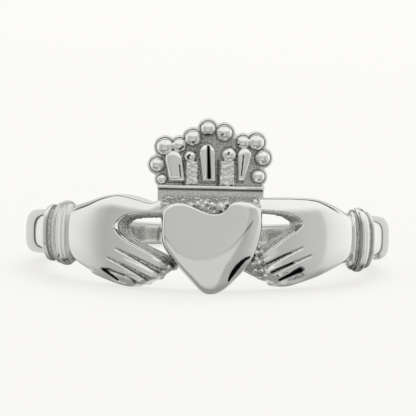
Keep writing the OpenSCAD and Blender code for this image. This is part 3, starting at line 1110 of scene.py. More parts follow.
@dataclass
class Hand:
    """A hand that holds the heart: palm and thumb, four fingers and the opening between them.

    Attributes:
        side: The hand's side.
        thickness: How far it stands over the finger hole's wall.
        grid: Size of the faces of its melted skin.
        palm: How the right palm's section is shaped.
        left_palm: How the left palm's is, which is squarer at the heart.
        finger: How a finger's section is shaped.
        groove: How deep a full groove between fingers is.
        lumps: How high the lumps of a rough place are.
        lump_size: How wide they are.
        wrist: Distances from the middle between which the palm passes into the smooth wrist.
    """

    side: Side
    thickness: float = 2.0
    grid: float = 0.042
    palm: Limb = field(default_factory=lambda: Limb(power=2.7, top_points=31, level=True))
    left_palm: Limb = field(
        default_factory=lambda: Limb(power=2.5, end_power=7.0, top_points=41, level=True)
    )
    finger: Limb = field(default_factory=lambda: Limb(power=4.0, top_points=23))
    groove: float = 0.16
    lumps: float = 0.1
    lump_size: float = 0.14
    wrist: tuple[float, float] = (4.9, 5.8)

    def row(self, limb: Limb, x: float, height: float, half: float, rise: float) -> tuple[float, ...]:
        """Places one row of a limb.

        Args:
            limb: The limb's shape.
            x: Where the row's middle shows from the front.
            height: The middle's height.
            half: Half the limb's width.
            rise: Its rise over the finger hole's wall, as a share of the hand's.

        Returns:
            The limb's row.
        """
        outer = BORE_R + rise * self.thickness
        return angle_at(x, limb.widest(outer)), height, half, outer

    def limbs(self) -> list[bpy.types.Object]:
        """Models the palm and the fingers.

        Returns:
            Their skins, which overlap.
        """
        palm = self.left_palm if self.side is Side.LEFT else self.palm
        edges = [
            self.row(palm, x, (top + low) / 2, (top - low) / 2, rise)
            for x, top, low, rise in EDGES[self.side]
        ]
        made = [skin("palm", palm.sections(through(edges, 4)))]
        for finger in FINGERS[self.side]:
            rows = [self.row(self.finger, *place) for place in finger]
            made.append(skin("finger", self.finger.sections(through(rows, 4))))
        return made

    def cutter(self) -> bpy.types.Object:
        """Models the plug that cuts the opening, longer than the hand is thick.

        Returns:
            The plug.
        """
        table = through(OPENING[self.side], 4, closed=True)
        outer = BORE_R + self.thickness
        outside = np.array([seat_at(angle_at(x, outer), z, outer) for x, z, _, _ in table])
        inside = np.array([seat_at(angle_at(x, BORE_R), z, BORE_R) for _, _, x, z in table])
        return skin("opening", [inside + share * (outside - inside) for share in (-0.4, 0.0, 1.0, 1.6)])

    def build(self) -> bpy.types.Object:
        """Models the hand.

        Returns:
            The finished hand, on its own side.
        """
        made = join(f"hand_{self.side.name.lower()}", self.limbs())
        fuse(made, self.grid, 14)
        plug = self.cutter()
        apply_modifier(made, "BOOLEAN", object=plug, operation="DIFFERENCE", solver="MANIFOLD")
        bpy.data.objects.remove(plug)
        fuse(made, self.grid, 8)
        back = Surface(made)
        back.weigh("back", step_between(*self.wrist, back.co[:, 0]))
        apply_modifier(made, "SMOOTH", factor=0.5, iterations=40, vertex_group="back")
        press_to_finger(made)
        mirror(made, self.side)
        surface = Surface(made)
        surface.front[:, 0] *= self.side.value
        self.mark_strokes(surface)
        self.mark_opening(surface)
        surface.write()
        sink_and_roughen(surface, self.groove, self.lumps, self.lump_size)
        apply_modifier(made, "SMOOTH", factor=0.5, iterations=1)
        shade_smooth(made)
        return made

    def mark_strokes(self, surface: Surface) -> None:
        """Marks the grooves, the painted dark reflections and shade beside them, and the rough metal beside
        the heart.

        Args:
            surface: The hand's surface.
        """
        outward = step_between(0.05, 0.35, surface.facing)
        # Grooves are sunk and rough; the black strokes paint dark reflections and shade
        for stroke in STROKES[self.side]:
            where = surface.near(stroke.path, stroke.half, stroke.end_half) * outward
            surface.mark(where, stroke.cast, stroke.oxide, stroke.groove)
        x, z = surface.front.T
        reach = HEART_SIDE[self.side]
        tall = step_between(-0.9, -1.2, z) * step_between(-2.6, -2.3, z)
        surface.mark(step_between(reach + 0.3, reach, x) * tall, cast=0.85)

    def mark_opening(self, surface: Surface) -> None:
        """Marks the rough walls of the opening, the painted shade on them and the painted dark line round its
        edge.

        Args:
            surface: The hand's surface.
        """
        x, z = surface.front.T
        over, facing = surface.radius - BORE_R, surface.facing
        # The walls are what lies round the opening and is turned aside
        inside = step_between(5.6, 5.3, x) * step_between(1.45, 1.3, z) * step_between(-1.9, -1.6, z)
        wall = inside * step_between(0.72, 0.55, facing) * step_between(-0.3, 0.0, facing)
        surface.mark(wall * step_between(1.5, 1.35, over) * step_between(0.02, 0.15, over), cast=0.6)
        # Near the finger, on the thumb's side, they are rough all over and darkened with painted shade
        thumb_side = 1 - step_between(0.5, -0.3, z)
        surface.mark(wall * step_between(0.9, 0.7, over) * thumb_side, cast=1.0, oxide=0.45)
        # Fine lines of painted shade follow the walls, and one follows the brink at the palm's face
        for place, black in WALL_LINES:
            surface.mark(wall * step_between(0.07, 0.03, np.abs(over - place)), oxide=black)
        edge = step_between(0.76, 0.68, facing) * step_between(0.5, 0.58, facing)
        surface.mark(inside * edge * step_between(1.0, 1.2, over), oxide=0.6)


# The heart's outline against the clock from the notch: x and height
HEART = (
    (0.25, 1.13), (-0.16, 1.23), (-0.69, 1.45), (-1.05, 1.62), (-1.47, 1.73), (-1.89, 1.70),
    (-2.20, 1.56), (-2.39, 1.29), (-2.47, 1.00), (-2.50, 0.45), (-2.50, -0.10), (-2.42, -0.50),
    (-2.20, -0.88), (-1.89, -1.30), (-1.47, -1.81), (-0.95, -2.37), (-0.48, -2.84), (-0.18, -3.08),
    (0.15, -3.19), (0.50, -3.13), (0.89, -2.93), (1.25, -2.64), (1.67, -2.21), (2.00, -1.86),
    (2.33, -1.42), (2.56, -0.93), (2.73, -0.40), (2.84, 0.05), (2.89, 0.55), (2.88, 1.05),
    (2.80, 1.36), (2.62, 1.62), (2.33, 1.80), (1.93, 1.87), (1.52, 1.85), (1.25, 1.71),
    (1.08, 1.50), (0.88, 1.30), (0.60, 1.16),
)


@dataclass
class Heart:
    """The heart: straight walls with a rolled edge and a polished pillow face.

    Attributes:
        crest: How far its face stands over the finger hole's wall.
        relief: Share by which it draws in below at its back.
        middle: The x and height that its rings draw in to.
        oval: Half the width and height of the oval that its inner rings near.
        back: Sizes of the rings on its back, beside the outline.
        walls: Rings up its walls: how far over the wall of the finger hole, and share of the relief.
        edge: Rings of its rolled edge: size beside the outline, how far behind the crest, and what
            the right flank adds to its own wide roll.
        face_rings: Sizes of the rings on its open face.
        crown: How fast the face falls off to both sides.
        fold: The curve under which it also falls off to the tip: its bend, how far left of the
            middle it is lowest, and its height there.
        fall: How fast it falls off under that curve.
        flank_from: Angles against the clock from the right over which the right flank's roll sets in.
        flank_to: Angles over which that roll ends.
        flank_reach: How far in from the outline the right flank's roll begins.
        flank_bend: How fast that roll falls off.
        tip_roll: Heights over which the edge's roll grows tighter towards the tip.
        tip_tightness: How much tighter it grows.
        tip_from: Height under which its tip may reach the floor.
        clearance: How far over the floor the tip's lowest points are left.
    """

    crest: float = 2.62
    relief: float = 0.14
    middle: tuple[float, float] = (0.12, -0.2)
    oval: tuple[float, float] = (2.4, 2.05)
    back: tuple[float, ...] = (0.12, 0.35, 0.6, 0.82, 0.96, 1.0)
    walls: Rows = ((0.2, 0.9), (0.7, 0.6), (1.05, 0.2))
    edge: Rows = (
        (1.000, 1.30, 0.90), (0.997, 1.02, 0.55), (0.992, 0.76, 0.24), (0.984, 0.52, 0.06),
        (0.972, 0.31, 0.0), (0.960, 0.18, 0.0), (0.946, 0.09, 0.0), (0.928, 0.042, 0.0),
        (0.905, 0.018, 0.0), (0.870, 0.004, 0.0),
    )
    face_rings: tuple[float, ...] = (0.830, 0.780, 0.720, 0.640, 0.540, 0.420, 0.280, 0.120)
    crown: float = 0.01
    fold: tuple[float, float, float] = (0.26, 0.35, -0.33)
    fall: float = 0.058
    flank_from: tuple[float, float] = (-92, -48)
    flank_to: tuple[float, float] = (70, 10)
    flank_reach: float = 0.9
    flank_bend: float = 0.41
    tip_roll: tuple[float, float] = (-2.3, -3.0)
    tip_tightness: float = 0.6
    tip_from: float = -2.8
    clearance: float = 0.003

    def ring(self, outline: Points, scale: float, relief: float = 0.0) -> Points:
        """Draws one ring of the heart, as seen from the front.

        Args:
            outline: The heart's outline.
            scale: How large the ring is beside the outline.
            relief: Share by which it draws in below.

        Returns:
            The x and height of the ring's points.
        """
        rounding = (1 - scale) ** 1.2
        flat = outline - self.middle
        turns = np.arctan2(flat[:, 1], flat[:, 0])
        oval = np.column_stack([np.cos(turns), np.sin(turns)]) * self.oval
        flat = scale * ((1 - rounding) * flat + rounding * oval) + self.middle
        flat[:, 1] = np.where(flat[:, 1] < 0, flat[:, 1] * (1 - relief), flat[:, 1])
        return flat

    def face(self, outline: Points, row: Sequence[float]) -> Points:
        """Draws one ring of the face: a pillow that falls off to the tip and rolls over at its edge.

        Args:
            outline: The heart's outline.
            row: The ring's row, as in the rolled edge.

        Returns:
            The ring's points.
        """
        scale, drop, flank_drop = row
        flat = self.ring(outline, scale)
        x, z = flat.T
        bend, left, lowest = self.fold
        pillow = self.crown * x**2 + self.fall * np.maximum(0, bend * (x + left) ** 2 + lowest - z) ** 2
        away = outline - self.middle
        turn = np.degrees(np.arctan2(away[:, 1], away[:, 0]))
        flank = step_between(*self.flank_from, turn) * step_between(*self.flank_to, turn)
        inset = (1 - scale) * np.linalg.norm(away, axis=1)
        roll = self.flank_bend * np.maximum(0, self.flank_reach - inset) ** 2 + flank_drop
        tight = 1 - self.tip_tightness * step_between(*self.tip_roll, outline[:, 1])
        depth = BORE_R + self.crest - pillow - tight * ((1 - flank) * drop + flank * roll)
        return np.column_stack([x, -depth, z])

    def rest_on(self, seat: Seat, point: Points) -> Points:
        """Wears a point of the tip flat where it would reach under what the ring rests on.

        Args:
            seat: Where the ring lies.
            point: The point in the ring's own frame.

        Returns:
            The point there after the wear.
        """
        matrix = seat.matrix()
        placed = matrix @ Vector(point)
        placed.z = max(placed.z, self.clearance * MM)
        return matrix.inverted() @ placed

    def build(self, seat: Seat) -> bpy.types.Object:
        """Models the heart, whose tip rests on the floor.

        Args:
            seat: Where the ring lies.

        Returns:
            The finished heart.
        """
        outline = through(HEART, 2, closed=True)
        rings = []
        for scale in self.back:
            x, z = self.ring(outline, scale, self.relief).T
            rings.append(np.column_stack([x, -np.sqrt(BORE_R**2 - x**2), z]))
        for over, share in self.walls:
            x, z = self.ring(outline, 1.0, share * self.relief).T
            rings.append(np.column_stack([x, np.full(len(x), -BORE_R - over), z]))
        rings += [self.face(outline, row) for row in self.edge]
        rings += [self.face(outline, (scale, 0.0, 0.0)) for scale in self.face_rings]
        made = skin("heart", rings)
        apply_modifier(made, "SUBSURF", levels=2, render_levels=2)
        with editing(made) as mesh:
            for vert in mesh.verts:
                if vert.co.z < self.tip_from:
                    vert.co = self.rest_on(seat, vert.co)
        shade_smooth(made)
        Surface(made).write()
        return made


# Beads of the crown: share of half the crown's width, share of its height above the foot, and
# diameter as a share of the bead size
BEADS = (
    (-0.780, 0.243, 0.56), (-0.860, 0.427, 0.82), (-0.742, 0.655, 0.98), (-0.512, 0.675, 0.82),
    (-0.297, 0.771, 0.93), (-0.060, 0.895, 0.84), (0.197, 0.839, 0.93), (0.503, 0.728, 0.78),
    (0.712, 0.735, 0.92), (0.818, 0.540, 0.87), (0.752, 0.301, 0.76),
    (-0.338, 0.535, 0.72), (0.281, 0.564, 0.88),
)
# How many of them follow the crown's edge, before the two inner ones
EDGE_BEADS = 11
# Outline of the plate between the beads: share of half the crown's width, share of its height
PLATE = (
    (-0.85, 0.40), (-0.74, 0.70), (-0.05, 0.90), (0.70, 0.78), (0.83, 0.50), (0.80, 0.20), (-0.80, 0.18),
)
# Petals: middle of the top and of the foot, each as shares of half the crown's width and of its
# height, then the width of the top and of the foot as shares of the bead size
PETALS = (
    (-0.604, 0.500, -0.537, 0.215, 1.06, 0.92),
    (-0.066, 0.600, -0.026, 0.220, 0.97, 0.80),
    (0.536, 0.570, 0.488, 0.235, 0.88, 0.38),
)
# The slot in each petal, sunk and darkened with painted shade, in the petals' shares
SLOTS = (
    Stroke(((-0.505, 0.42), (-0.485, 0.27)), 0.05, 0.04),
    Stroke(((-0.052, 0.71), (-0.045, 0.58), (-0.036, 0.42), (-0.028, 0.27)), 0.11, 0.16),
    Stroke(((0.515, 0.56), (0.498, 0.40), (0.486, 0.30)), 0.05, 0.04),
)
# Columns under the two inner beads: middle and top as in the petals, width as there
COLUMNS = ((-0.31, 0.475, 0.70), (0.262, 0.49, 0.84))
# Layers of a petal: size beside its outline and share of its rise
PETAL_LAYERS = ((1, 0), (1, 0.3), (1, 0.62), (0.95, 0.82), (0.82, 0.94), (0.58, 0.99), (0.25, 1))
# Corners of the fillet between the plate and the heart, and of the metal in the heart's notch:
# how far over the plate's face, and height
FILLET = ((-0.2, 1.5), (-0.2, 2.08), (0.02, 2.05), (0.3, 1.87), (0.6, 1.73), (1.0, 1.62), (1.0, 1.5))
FILLING = (
    (-0.2, 1.0), (-0.2, 2.0), (0.25, 1.9), (0.55, 1.64), (0.85, 1.36), (1.1, 1.14), (1.15, 1.0),
)
# Painted shade on the beads, by the bead's number: x and height along each
BEAD_SHADES = {
    3: (((-1.55, 4.47), (-1.37, 4.62)),),
    4: (((-0.86, 4.82), (-0.81, 4.86)),),
    5: (((-0.20, 5.26), (0.03, 5.28)),),
    6: (((0.66, 5.27), (0.71, 5.29)),),
    7: (((1.53, 4.77), (1.57, 4.80)),),
    11: (((-1.03, 4.17), (-1.12, 4.08), (-1.06, 3.97)),),
    12: (((1.04, 4.33), (1.00, 4.24)),),
}


@dataclass
class Crown:
    """The crown: a plate that follows the finger, with a rule, petals, columns and beads.

    Attributes:
        width: Its width over all.
        height: Its height over its foot.
        foot: Its foot's height.
        foot_w: Its foot's width.
        plate: How far the plate's face stands over the finger hole's wall.
        ease: How far the plate's back keeps off that wall.
        rim: How far the plate reaches past the beads.
        bead: The size that the beads' shares are taken of.
        bead_swell: How much larger the beads are made.
        rule_h: The rule's height.
        rule_at: Where the rule begins, as a share of the crown's height.
        rule_power: How square its section is, from 2 for a round one.
        rule_rise: How far it stands over the plate, as a share of what the petals do.
        column_foot: Where the columns begin, as a share of the crown's height.
        column_rise: How far they stand over the plate, as a share of what the petals do.
        relief: How far the petals stand over the plate.
        grip: How far petals and columns are sunk in the plate.
        neck: How far the foot reaches down behind the heart.
        shift: How far the crown's middle lies beside the ring's.
        grid: Size of the faces of the plate's melted skin.
    """

    width: float = 6.6
    height: float = 4.15
    foot: float = 1.88
    foot_w: float = 5.6
    plate: float = 1.05
    ease: float = 0.2
    rim: float = 0.17
    bead: float = 0.9
    bead_swell: float = 1.07
    rule_h: float = 0.2
    rule_at: float = 0.125
    rule_power: float = 2.6
    rule_rise: float = 0.7
    column_foot: float = 0.18
    column_rise: float = 0.5
    relief: float = 0.42
    grip: float = 0.3
    neck: float = 1.1
    shift: float = 0.12
    grid: float = 0.045

    def x(self, share: float) -> float:
        """Returns the x of a share of half the crown's width."""
        return share * self.width / 2

    def z(self, share: float) -> float:
        """Returns the height of a share of the crown's height above its foot."""
        return self.foot + share * self.height

    def wrap(self, obj: bpy.types.Object) -> None:
        """Curls a piece that was modelled flat round the finger and moves it to the crown's middle.

        Args:
            obj: The piece, whose look from the front stays as it is.
        """
        co = points_of(obj.data)
        co[:, 1] = -np.sqrt(np.maximum(co[:, 1] ** 2 - co[:, 0] ** 2, 0))
        move_points(obj.data, co)
        obj.data.transform(Matrix.Translation((self.shift, 0, 0)))

    def block(self, name: str, low: Sequence[float], high: Sequence[float]) -> bpy.types.Object:
        """Adds a box.

        Args:
            name: The box's name.
            low: One corner's x, radius and height.
            high: The far corner's.

        Returns:
            The box.
        """
        deselect()
        size = [high[i] - low[i] for i in range(3)]
        middle = [(high[0] + low[0]) / 2, -(high[1] + low[1]) / 2, (high[2] + low[2]) / 2]
        bpy.ops.mesh.primitive_cube_add(size=1, location=middle, scale=size)
        made = fixed()
        made.name = name
        return made

    def bar(self, name: str, profile: Rows, stations: Points) -> bpy.types.Object:
        """Draws a bar along x.

        Args:
            name: The bar's name.
            profile: The corners of its section, each as a radius and a height.
            stations: The places of its sections along x.

        Returns:
            The bar.
        """
        return skin(name, [np.array([(x, -radius, z) for radius, z in profile]) for x in stations])

    def build_plate(self) -> bpy.types.Object:
        """Models the plate behind the relief.

        Returns:
            The plate.
        """
        back, front = BORE_R + self.ease, BORE_R + self.plate
        parts = []
        for x, z, d in BEADS[:EDGE_BEADS]:
            deselect()
            bpy.ops.mesh.primitive_cylinder_add(
                vertices=40, radius=d * self.bead / 2 + self.rim, depth=front - back,
                location=(self.x(x), -(front + back) / 2, self.z(z)), rotation=(math.pi / 2, 0, 0),
            )
            parts.append(fixed())
        corners = [(self.x(x), self.z(z)) for x, z in PLATE]
        ends = [np.array([(x, -radius, z) for x, z in corners]) for radius in (back, front)]
        parts.append(skin("plate_middle", ends))
        for half, drop in ((self.foot_w / 2, 0.5 * self.neck), (self.foot_w / 4, self.neck)):
            parts.append(self.block("foot", (-half, back, self.foot - drop), (half, front, self.z(0.2))))
        made = join("crown_plate", parts)
        fuse(made, self.grid, 5)
        self.wrap(made)
        surface = Surface(made)
        self.mark_ground(surface)
        self.paint_shadow_lines(surface)
        surface.write()
        sink_and_roughen(surface, lumps=0.08, lump_size=0.13)
        shade_smooth(made)
        return made

    def mark_ground(self, surface: Surface) -> None:
        """Marks the rough ground inside the beads with painted shade, the rough strip under the rule and the
        painted dark line along the plate's brink.

        Args:
            surface: The plate's surface.
        """
        x, z = surface.front[:, 0] - self.shift, surface.front[:, 1]
        outward = step_between(0.5, 0.9, surface.facing)
        inner = step_between(self.z(0.14), self.z(0.16), z) * self.inside_beads(x, z)
        # The ground inside the beads is rough and darkened with painted shade
        surface.mark(inner * outward, cast=0.8, oxide=0.28)
        surface.mark(step_between(self.z(0.13), self.z(0.11), z) * outward, cast=0.5)
        # A painted dark line of shade along the plate's brink
        brink = step_between(0.15, 0.35, surface.facing) * step_between(0.75, 0.6, surface.facing)
        surface.mark(brink * step_between(self.z(0.1), self.z(0.2), z), oxide=0.75)

    def paint_shadow_lines(self, surface: Surface) -> None:
        """Paints shadow lines on the plate beside petals, columns, rule and beads.

        The lines beside petals and columns keep to the ring's middle and not to the crown's, so
        that they show most on the left of each.

        Args:
            surface: The plate's surface.
        """
        x, z = surface.front[:, 0] - self.shift, surface.front[:, 1]
        outward = step_between(0.5, 0.9, surface.facing)
        # Painted shadow lines round the petals
        for petal in PETALS:
            path = self.petal_line(petal)
            surface.mark((surface.near(path, 0.13) - surface.near(path, 0.05)) * outward, oxide=0.85)
        # Painted shadow lines beside the columns
        for column_x, top, width in COLUMNS:
            for side in Side:
                place = self.x(column_x) + side.value * width * self.bead / 2
                path = ((place, self.z(self.column_foot)), (place, self.z(top)))
                surface.mark(surface.near(path, 0.12) * outward, oxide=0.8)
        # A painted shadow line under the rule
        under_rule = step_between(0.07, 0.04, np.abs(z - self.z(self.rule_at) + 0.03))
        surface.mark(under_rule * outward, oxide=0.85)
        # Rough rings with painted shadow round the beads
        for bead_x, bead_z, d in BEADS:
            away = np.hypot(x - self.x(bead_x), z - self.z(bead_z)) - d * self.bead * self.bead_swell / 2
            surface.mark(step_between(0.07, 0.02, away) * outward, cast=0.6, oxide=0.75)

    def petal_line(self, petal: Sequence[float]) -> list[tuple[float, float]]:
        """Draws the line round a petal, with few corners.

        Args:
            petal: The petal's row of shares.

        Returns:
            The line's corners.
        """
        top_x, top_z, foot_x, foot_z, top_w, foot_w = petal
        half_top, half_foot = top_w * self.bead / 2, foot_w * self.bead / 2
        left, right = ((self.x(foot_x) + sign * half_foot, self.z(foot_z)) for sign in (-1, 1))
        arch = [
            (self.x(top_x) + aside * half_top, self.z(top_z) + up * half_top)
            for aside, up in ((-1, 0), (-0.7, 0.75), (0, 1), (0.7, 0.75), (1, 0))
        ]
        return [left, *arch, right, left]

    def inside_beads(self, x: Points, z: Points) -> Points:
        """Tells what lies inside the line of the outer beads.

        Args:
            x: The points' x from the crown's middle.
            z: Their heights.

        Returns:
            1 inside the line or at the foot between the lowest beads, and 0 elsewhere.
        """
        corners = np.array([(self.x(b[0]), self.z(b[1])) for b in BEADS[:EDGE_BEADS]])
        inside = np.zeros(len(x), bool)
        for i in range(len(corners)):
            (ax, az), (bx, bz) = corners[i - 1], corners[i]
            with np.errstate(divide="ignore", invalid="ignore"):
                cut = ax + (z - az) * (bx - ax) / (bz - az)
            inside ^= ((az > z) != (bz > z)) & (x < cut)
        low = (z < self.z(0.3)) & (np.abs(x) < self.foot_w / 2 - 0.12)
        return (inside | low).astype(float)

    def build_rule(self) -> bpy.types.Object:
        """Models the rule along the crown's foot.

        Returns:
            The rule.
        """
        half = self.foot_w / 2 + 0.04
        middle = self.z(self.rule_at) + self.rule_h / 2
        face, back = BORE_R + self.plate, BORE_R + self.plate - 0.2
        profile = [(back, middle - self.rule_h / 2), (back, middle + self.rule_h / 2)]
        for turn in np.linspace(math.pi / 2, -math.pi / 2, 11):
            rise = soft(math.cos(turn), self.rule_power) * self.rule_rise * self.relief
            spread = soft(math.sin(turn), self.rule_power) * self.rule_h / 2
            profile.append((face + rise, middle + spread))
        made = self.bar("crown_rule", profile, np.linspace(-half, half, 29))
        self.wrap(made)
        shade_smooth(made)
        Surface(made).write()
        return made

    def drawn_in(self, outline: Points, scale: float, radius: float) -> Points:
        """Draws an outline in round its middle.

        Args:
            outline: The x and height of the outline's points.
            scale: Its new size beside the old one.
            radius: The radius that it is placed at.

        Returns:
            The points there.
        """
        centre = outline.mean(0)
        flat = centre + scale * (outline - centre)
        return np.column_stack([flat[:, 0], np.full(len(flat), -radius), flat[:, 1]])

    def build_petal(self, petal: Sequence[float], slot: Stroke) -> bpy.types.Object:
        """Models one petal: a taper with a round top, crowned across.

        Args:
            petal: The petal's row of shares.
            slot: The slot in it, darkened with painted shade, as shares like the petal's own.

        Returns:
            The petal.
        """
        top_x, top_z, foot_x, foot_z, top_w, foot_w = petal
        half_top, half_foot = top_w * self.bead / 2, foot_w * self.bead / 2
        arch = [
            (self.x(top_x) + math.cos(turn) * half_top, self.z(top_z) + math.sin(turn) * half_top)
            for turn in np.linspace(math.pi, 0, 9)
        ]
        foot = [
            (self.x(foot_x) + share * half_foot, self.z(foot_z)) for share in (1.0, 0.85, 0.0, -0.85, -1.0)
        ]
        down = [np.array(arch[-1]) * (1 - t) + np.array(foot[0]) * t for t in (0.33, 0.66, 0.93)]
        up = [np.array(foot[-1]) * (1 - t) + np.array(arch[0]) * t for t in (0.07, 0.34, 0.67)]
        outline = np.array([*arch, *down, *foot, *up])
        back, rise = BORE_R + self.plate - self.grip, self.grip + self.relief
        layers = [self.drawn_in(outline, scale, back + share * rise) for scale, share in PETAL_LAYERS]
        made = skin("petal", layers)
        apply_modifier(made, "SUBSURF", levels=2, render_levels=2)
        fuse(made, 0.03, 1)
        self.wrap(made)
        surface = Surface(made)
        surface.front[:, 0] -= self.shift
        outward = step_between(0.5, 0.8, surface.facing)
        line = [(self.x(x), self.z(z)) for x, z in slot.path]
        # The slot is sunk and darkened with painted shade
        surface.mark(surface.near(line, slot.half, slot.end_half) * outward, oxide=1.0, groove=1.0)
        surface.write()
        sink_and_roughen(surface, depth=0.05)
        shade_smooth(made)
        return made

    def build_columns(self) -> bpy.types.Object:
        """Models the two rough columns under the inner beads.

        Returns:
            The columns.
        """
        face = BORE_R + self.plate
        parts = []
        for x, top, width in COLUMNS:
            half = width * self.bead / 2
            low = (self.x(x) - half, face - self.grip, self.z(self.column_foot))
            high = (self.x(x) + half, face + self.column_rise * self.relief, self.z(top))
            parts.append(self.block("column", low, high))
        made = join("crown_columns", parts)
        fuse(made, 0.04, 9)
        self.wrap(made)
        leave_rough(made, cast=0.2, lumps=0.8, lump_size=0.17)
        return made

    def build_bead(self, bead: Sequence[float], number: int) -> bpy.types.Object:
        """Models one bead: a ball whose back is cut off in the plate.

        Args:
            bead: The bead's row of shares.
            number: Its number.

        Returns:
            The bead.
        """
        x, z, d = self.x(bead[0]), self.z(bead[1]), bead[2] * self.bead * self.bead_swell
        plate = BORE_R + self.plate
        y = -math.sqrt(plate * plate - x * x)
        deselect()
        bpy.ops.mesh.primitive_uv_sphere_add(
            segments=32, ring_count=20, radius=d / 2,
            location=(x + self.shift, y, z), rotation=(math.pi / 2, 0, 0),
        )
        made = fixed()
        made.name = f"crown_bead_{number:02d}"
        with editing(made) as mesh:
            for vert in mesh.verts:
                vert.select = vert.co.y > y + 0.2 * d
            mesh.select_flush_mode()
            bpy.ops.mesh.delete(type="VERT")
            for edge in mesh.edges:
                edge.select = edge.is_boundary
            bpy.ops.mesh.edge_face_add()
        shade_smooth(made)
        surface = Surface(made)
        for path in BEAD_SHADES.get(number, ()):
            # Painted shade on the bead's front
            surface.mark(surface.near(path, 0.085, 0.06) * (surface.normal[:, 1] < -0.2), oxide=1.0)
        surface.write()
        return made

    def build_fillet(self) -> bpy.types.Object:
        """Models the rough metal that fills the corner between the plate and the heart.

        Returns:
            The fillet.
        """
        face = BORE_R + self.plate
        corner, filling = ([(face + over, z) for over, z in rows] for rows in (FILLET, FILLING))
        made = join("crown_fillet", [
            self.bar("crown_fillet", corner, np.linspace(-2.62, 2.62, 27)),
            self.bar("notch_filling", filling, np.linspace(-1.1, 1.05, 9)),
        ])
        fuse(made, 0.045, 4)
        self.wrap(made)
        leave_rough(made, cast=0.15, lumps=0.7, lump_size=0.14)
        return made

    def build(self) -> list[bpy.types.Object]:
        """Models the crown.

        Returns:
            Its pieces.
        """
        made = [self.build_plate(), self.build_rule(), self.build_columns(), self.build_fillet()]
        for number, (petal, slot) in enumerate(zip(PETALS, SLOTS)):
            piece = self.build_petal(petal, slot)
            piece.name = f"crown_petal_{number}"
            made.append(piece)
        made += [self.build_bead(bead, number) for number, bead in enumerate(BEADS)]
        return made


@dataclass
class Lumps:
    """Rough beads of metal that the mould left round the heart, where no buff reaches.

    Attributes:
        places: Where each lies: x, height, its radius and how far it lies from the finger's axis.
        grid: Size of the faces of their melted skin.
        stretch: How far each is drawn out, which is mostly towards the finger.
    """

    places: Rows = (
        (-0.56, 1.60, 0.16, 11.0), (-0.26, 1.44, 0.14, 11.05), (0.02, 1.34, 0.13, 11.05),
        (0.22, 1.56, 0.17, 11.05), (0.64, 1.50, 0.27, 11.05), (0.98, 1.66, 0.13, 11.0),
        (0.33, 1.24, 0.12, 11.05), (-0.12, 1.66, 0.14, 10.95), (0.80, 1.26, 0.10, 11.05),
        (-0.36, 1.74, 0.11, 10.6), (2.46, 1.80, 0.15, 10.3), (2.64, 1.56, 0.16, 10.3),
        (2.78, 1.32, 0.12, 10.3), (-2.32, 1.60, 0.14, 10.2), (-2.48, 1.38, 0.11, 10.2),
        (2.72, -0.58, 0.13, 10.3), (2.60, -0.90, 0.15, 10.35), (2.86, -0.86, 0.13, 10.4),
        (2.62, -1.24, 0.14, 10.4), (2.42, -1.52, 0.16, 10.3), (2.74, -1.46, 0.15, 10.4),
        (2.98, -1.30, 0.12, 10.5), (2.54, -1.86, 0.15, 10.3), (2.86, -1.84, 0.14, 10.35),
        (3.08, -2.12, 0.13, 10.3), (2.80, -2.22, 0.12, 10.2), (-1.98, -1.78, 0.12, 10.3),
        (-2.26, -2.02, 0.10, 10.3),
    )
    grid: float = 0.035
    stretch: tuple[float, float, float] = (1, 1.4, 1)

    def build(self) -> bpy.types.Object:
        """Models the lumps.

        Returns:
            The lumps, in one piece.
        """
        parts = []
        for x, z, r, depth in self.places:
            deselect()
            bpy.ops.mesh.primitive_ico_sphere_add(
                subdivisions=3, radius=r,
                location=(x, -math.sqrt(depth * depth - x * x), z), scale=self.stretch,
            )
            parts.append(fixed())
        made = join("casting_lumps", parts)
        fuse(made, self.grid, 1)
        leave_rough(made, cast=0.15, lumps=0.6, lump_size=0.14)
        return made


# Greys of the studio at each angle from the camera's side, in degrees from the left side round
# to the right: at the ring's level, above it and below it
LEVEL = (
    (-180, 0.74), (-143.8, 0.66), (-142.6, 0.01), (-139.8, 0.01), (-138.5, 0.86), (-124, 0.92), (-96, 0.84),
    (-82, 0.68), (-70, 0.54), (-58, 0.46), (-40, 0.50), (-25, 0.55), (0, 0.56), (21, 0.60), (27, 0.49),
    (40, 0.50), (60, 0.57), (76, 0.59), (82, 0.77), (96, 0.88), (124, 1.0), (143.5, 0.92), (145.0, 0.10),
    (146.3, 0.10), (147.8, 0.66), (180, 0.74),
)
ABOVE = (
    (-180, 0.88), (-143.5, 0.80), (-142.0, 0.02), (-140.0, 0.02), (-138.5, 0.9), (-124, 0.96), (-84, 0.90),
    (-50, 0.90), (0, 0.88), (50, 0.96), (84, 0.96), (124, 0.98), (143.5, 0.9), (145.0, 0.02), (147.0, 0.02),
    (148.5, 0.80), (180, 0.88),
)
BELOW = (
    (-180, 0.66), (-143.5, 0.60), (-142.0, 0.02), (-140.0, 0.02), (-138.5, 0.74), (-124, 0.80), (-90, 0.56),
    (-66, 0.46), (-46, 0.45), (-39, 0.65), (20, 0.66), (27, 0.44), (62, 0.48), (90, 0.60), (124, 0.80),
    (143.5, 0.74), (145.0, 0.02), (147.0, 0.02), (148.5, 0.60), (180, 0.66),
)
# Zones of the studio by direction: what is measured, where the zone begins and where it is full.
# Up is the direction's height, and toward is how far it points to the camera's side.
ZONES = {
    "high": ("up", 0.36, 0.62),
    "low_in_front": ("up", -0.10, -0.135),
    "low_at_sides": ("up", -0.02, -0.55),
    "sides": ("toward", 0.72, 0.5),
    "line_top": ("up", -0.08, -0.095),
    "line_foot": ("up", -0.13, -0.115),
    "line_ends": ("toward", 1.02, 0.84),
    "under": ("up", -0.42, -0.68),
    "bar_front": ("toward", -0.36, -0.42),
    "bar_back": ("toward", -0.60, -0.54),
    "bar_foot": ("up", 0.3, 0.5),
}
# Greys of the fine line low in front, of what the silver shows from right below, and of the bar
LINE_GREY = (0.02, 0.02, 0.02, 1)
UNDER_GREY = (0.32, 0.32, 0.317, 1)
BAR_GREY = (0.08, 0.08, 0.08, 1)


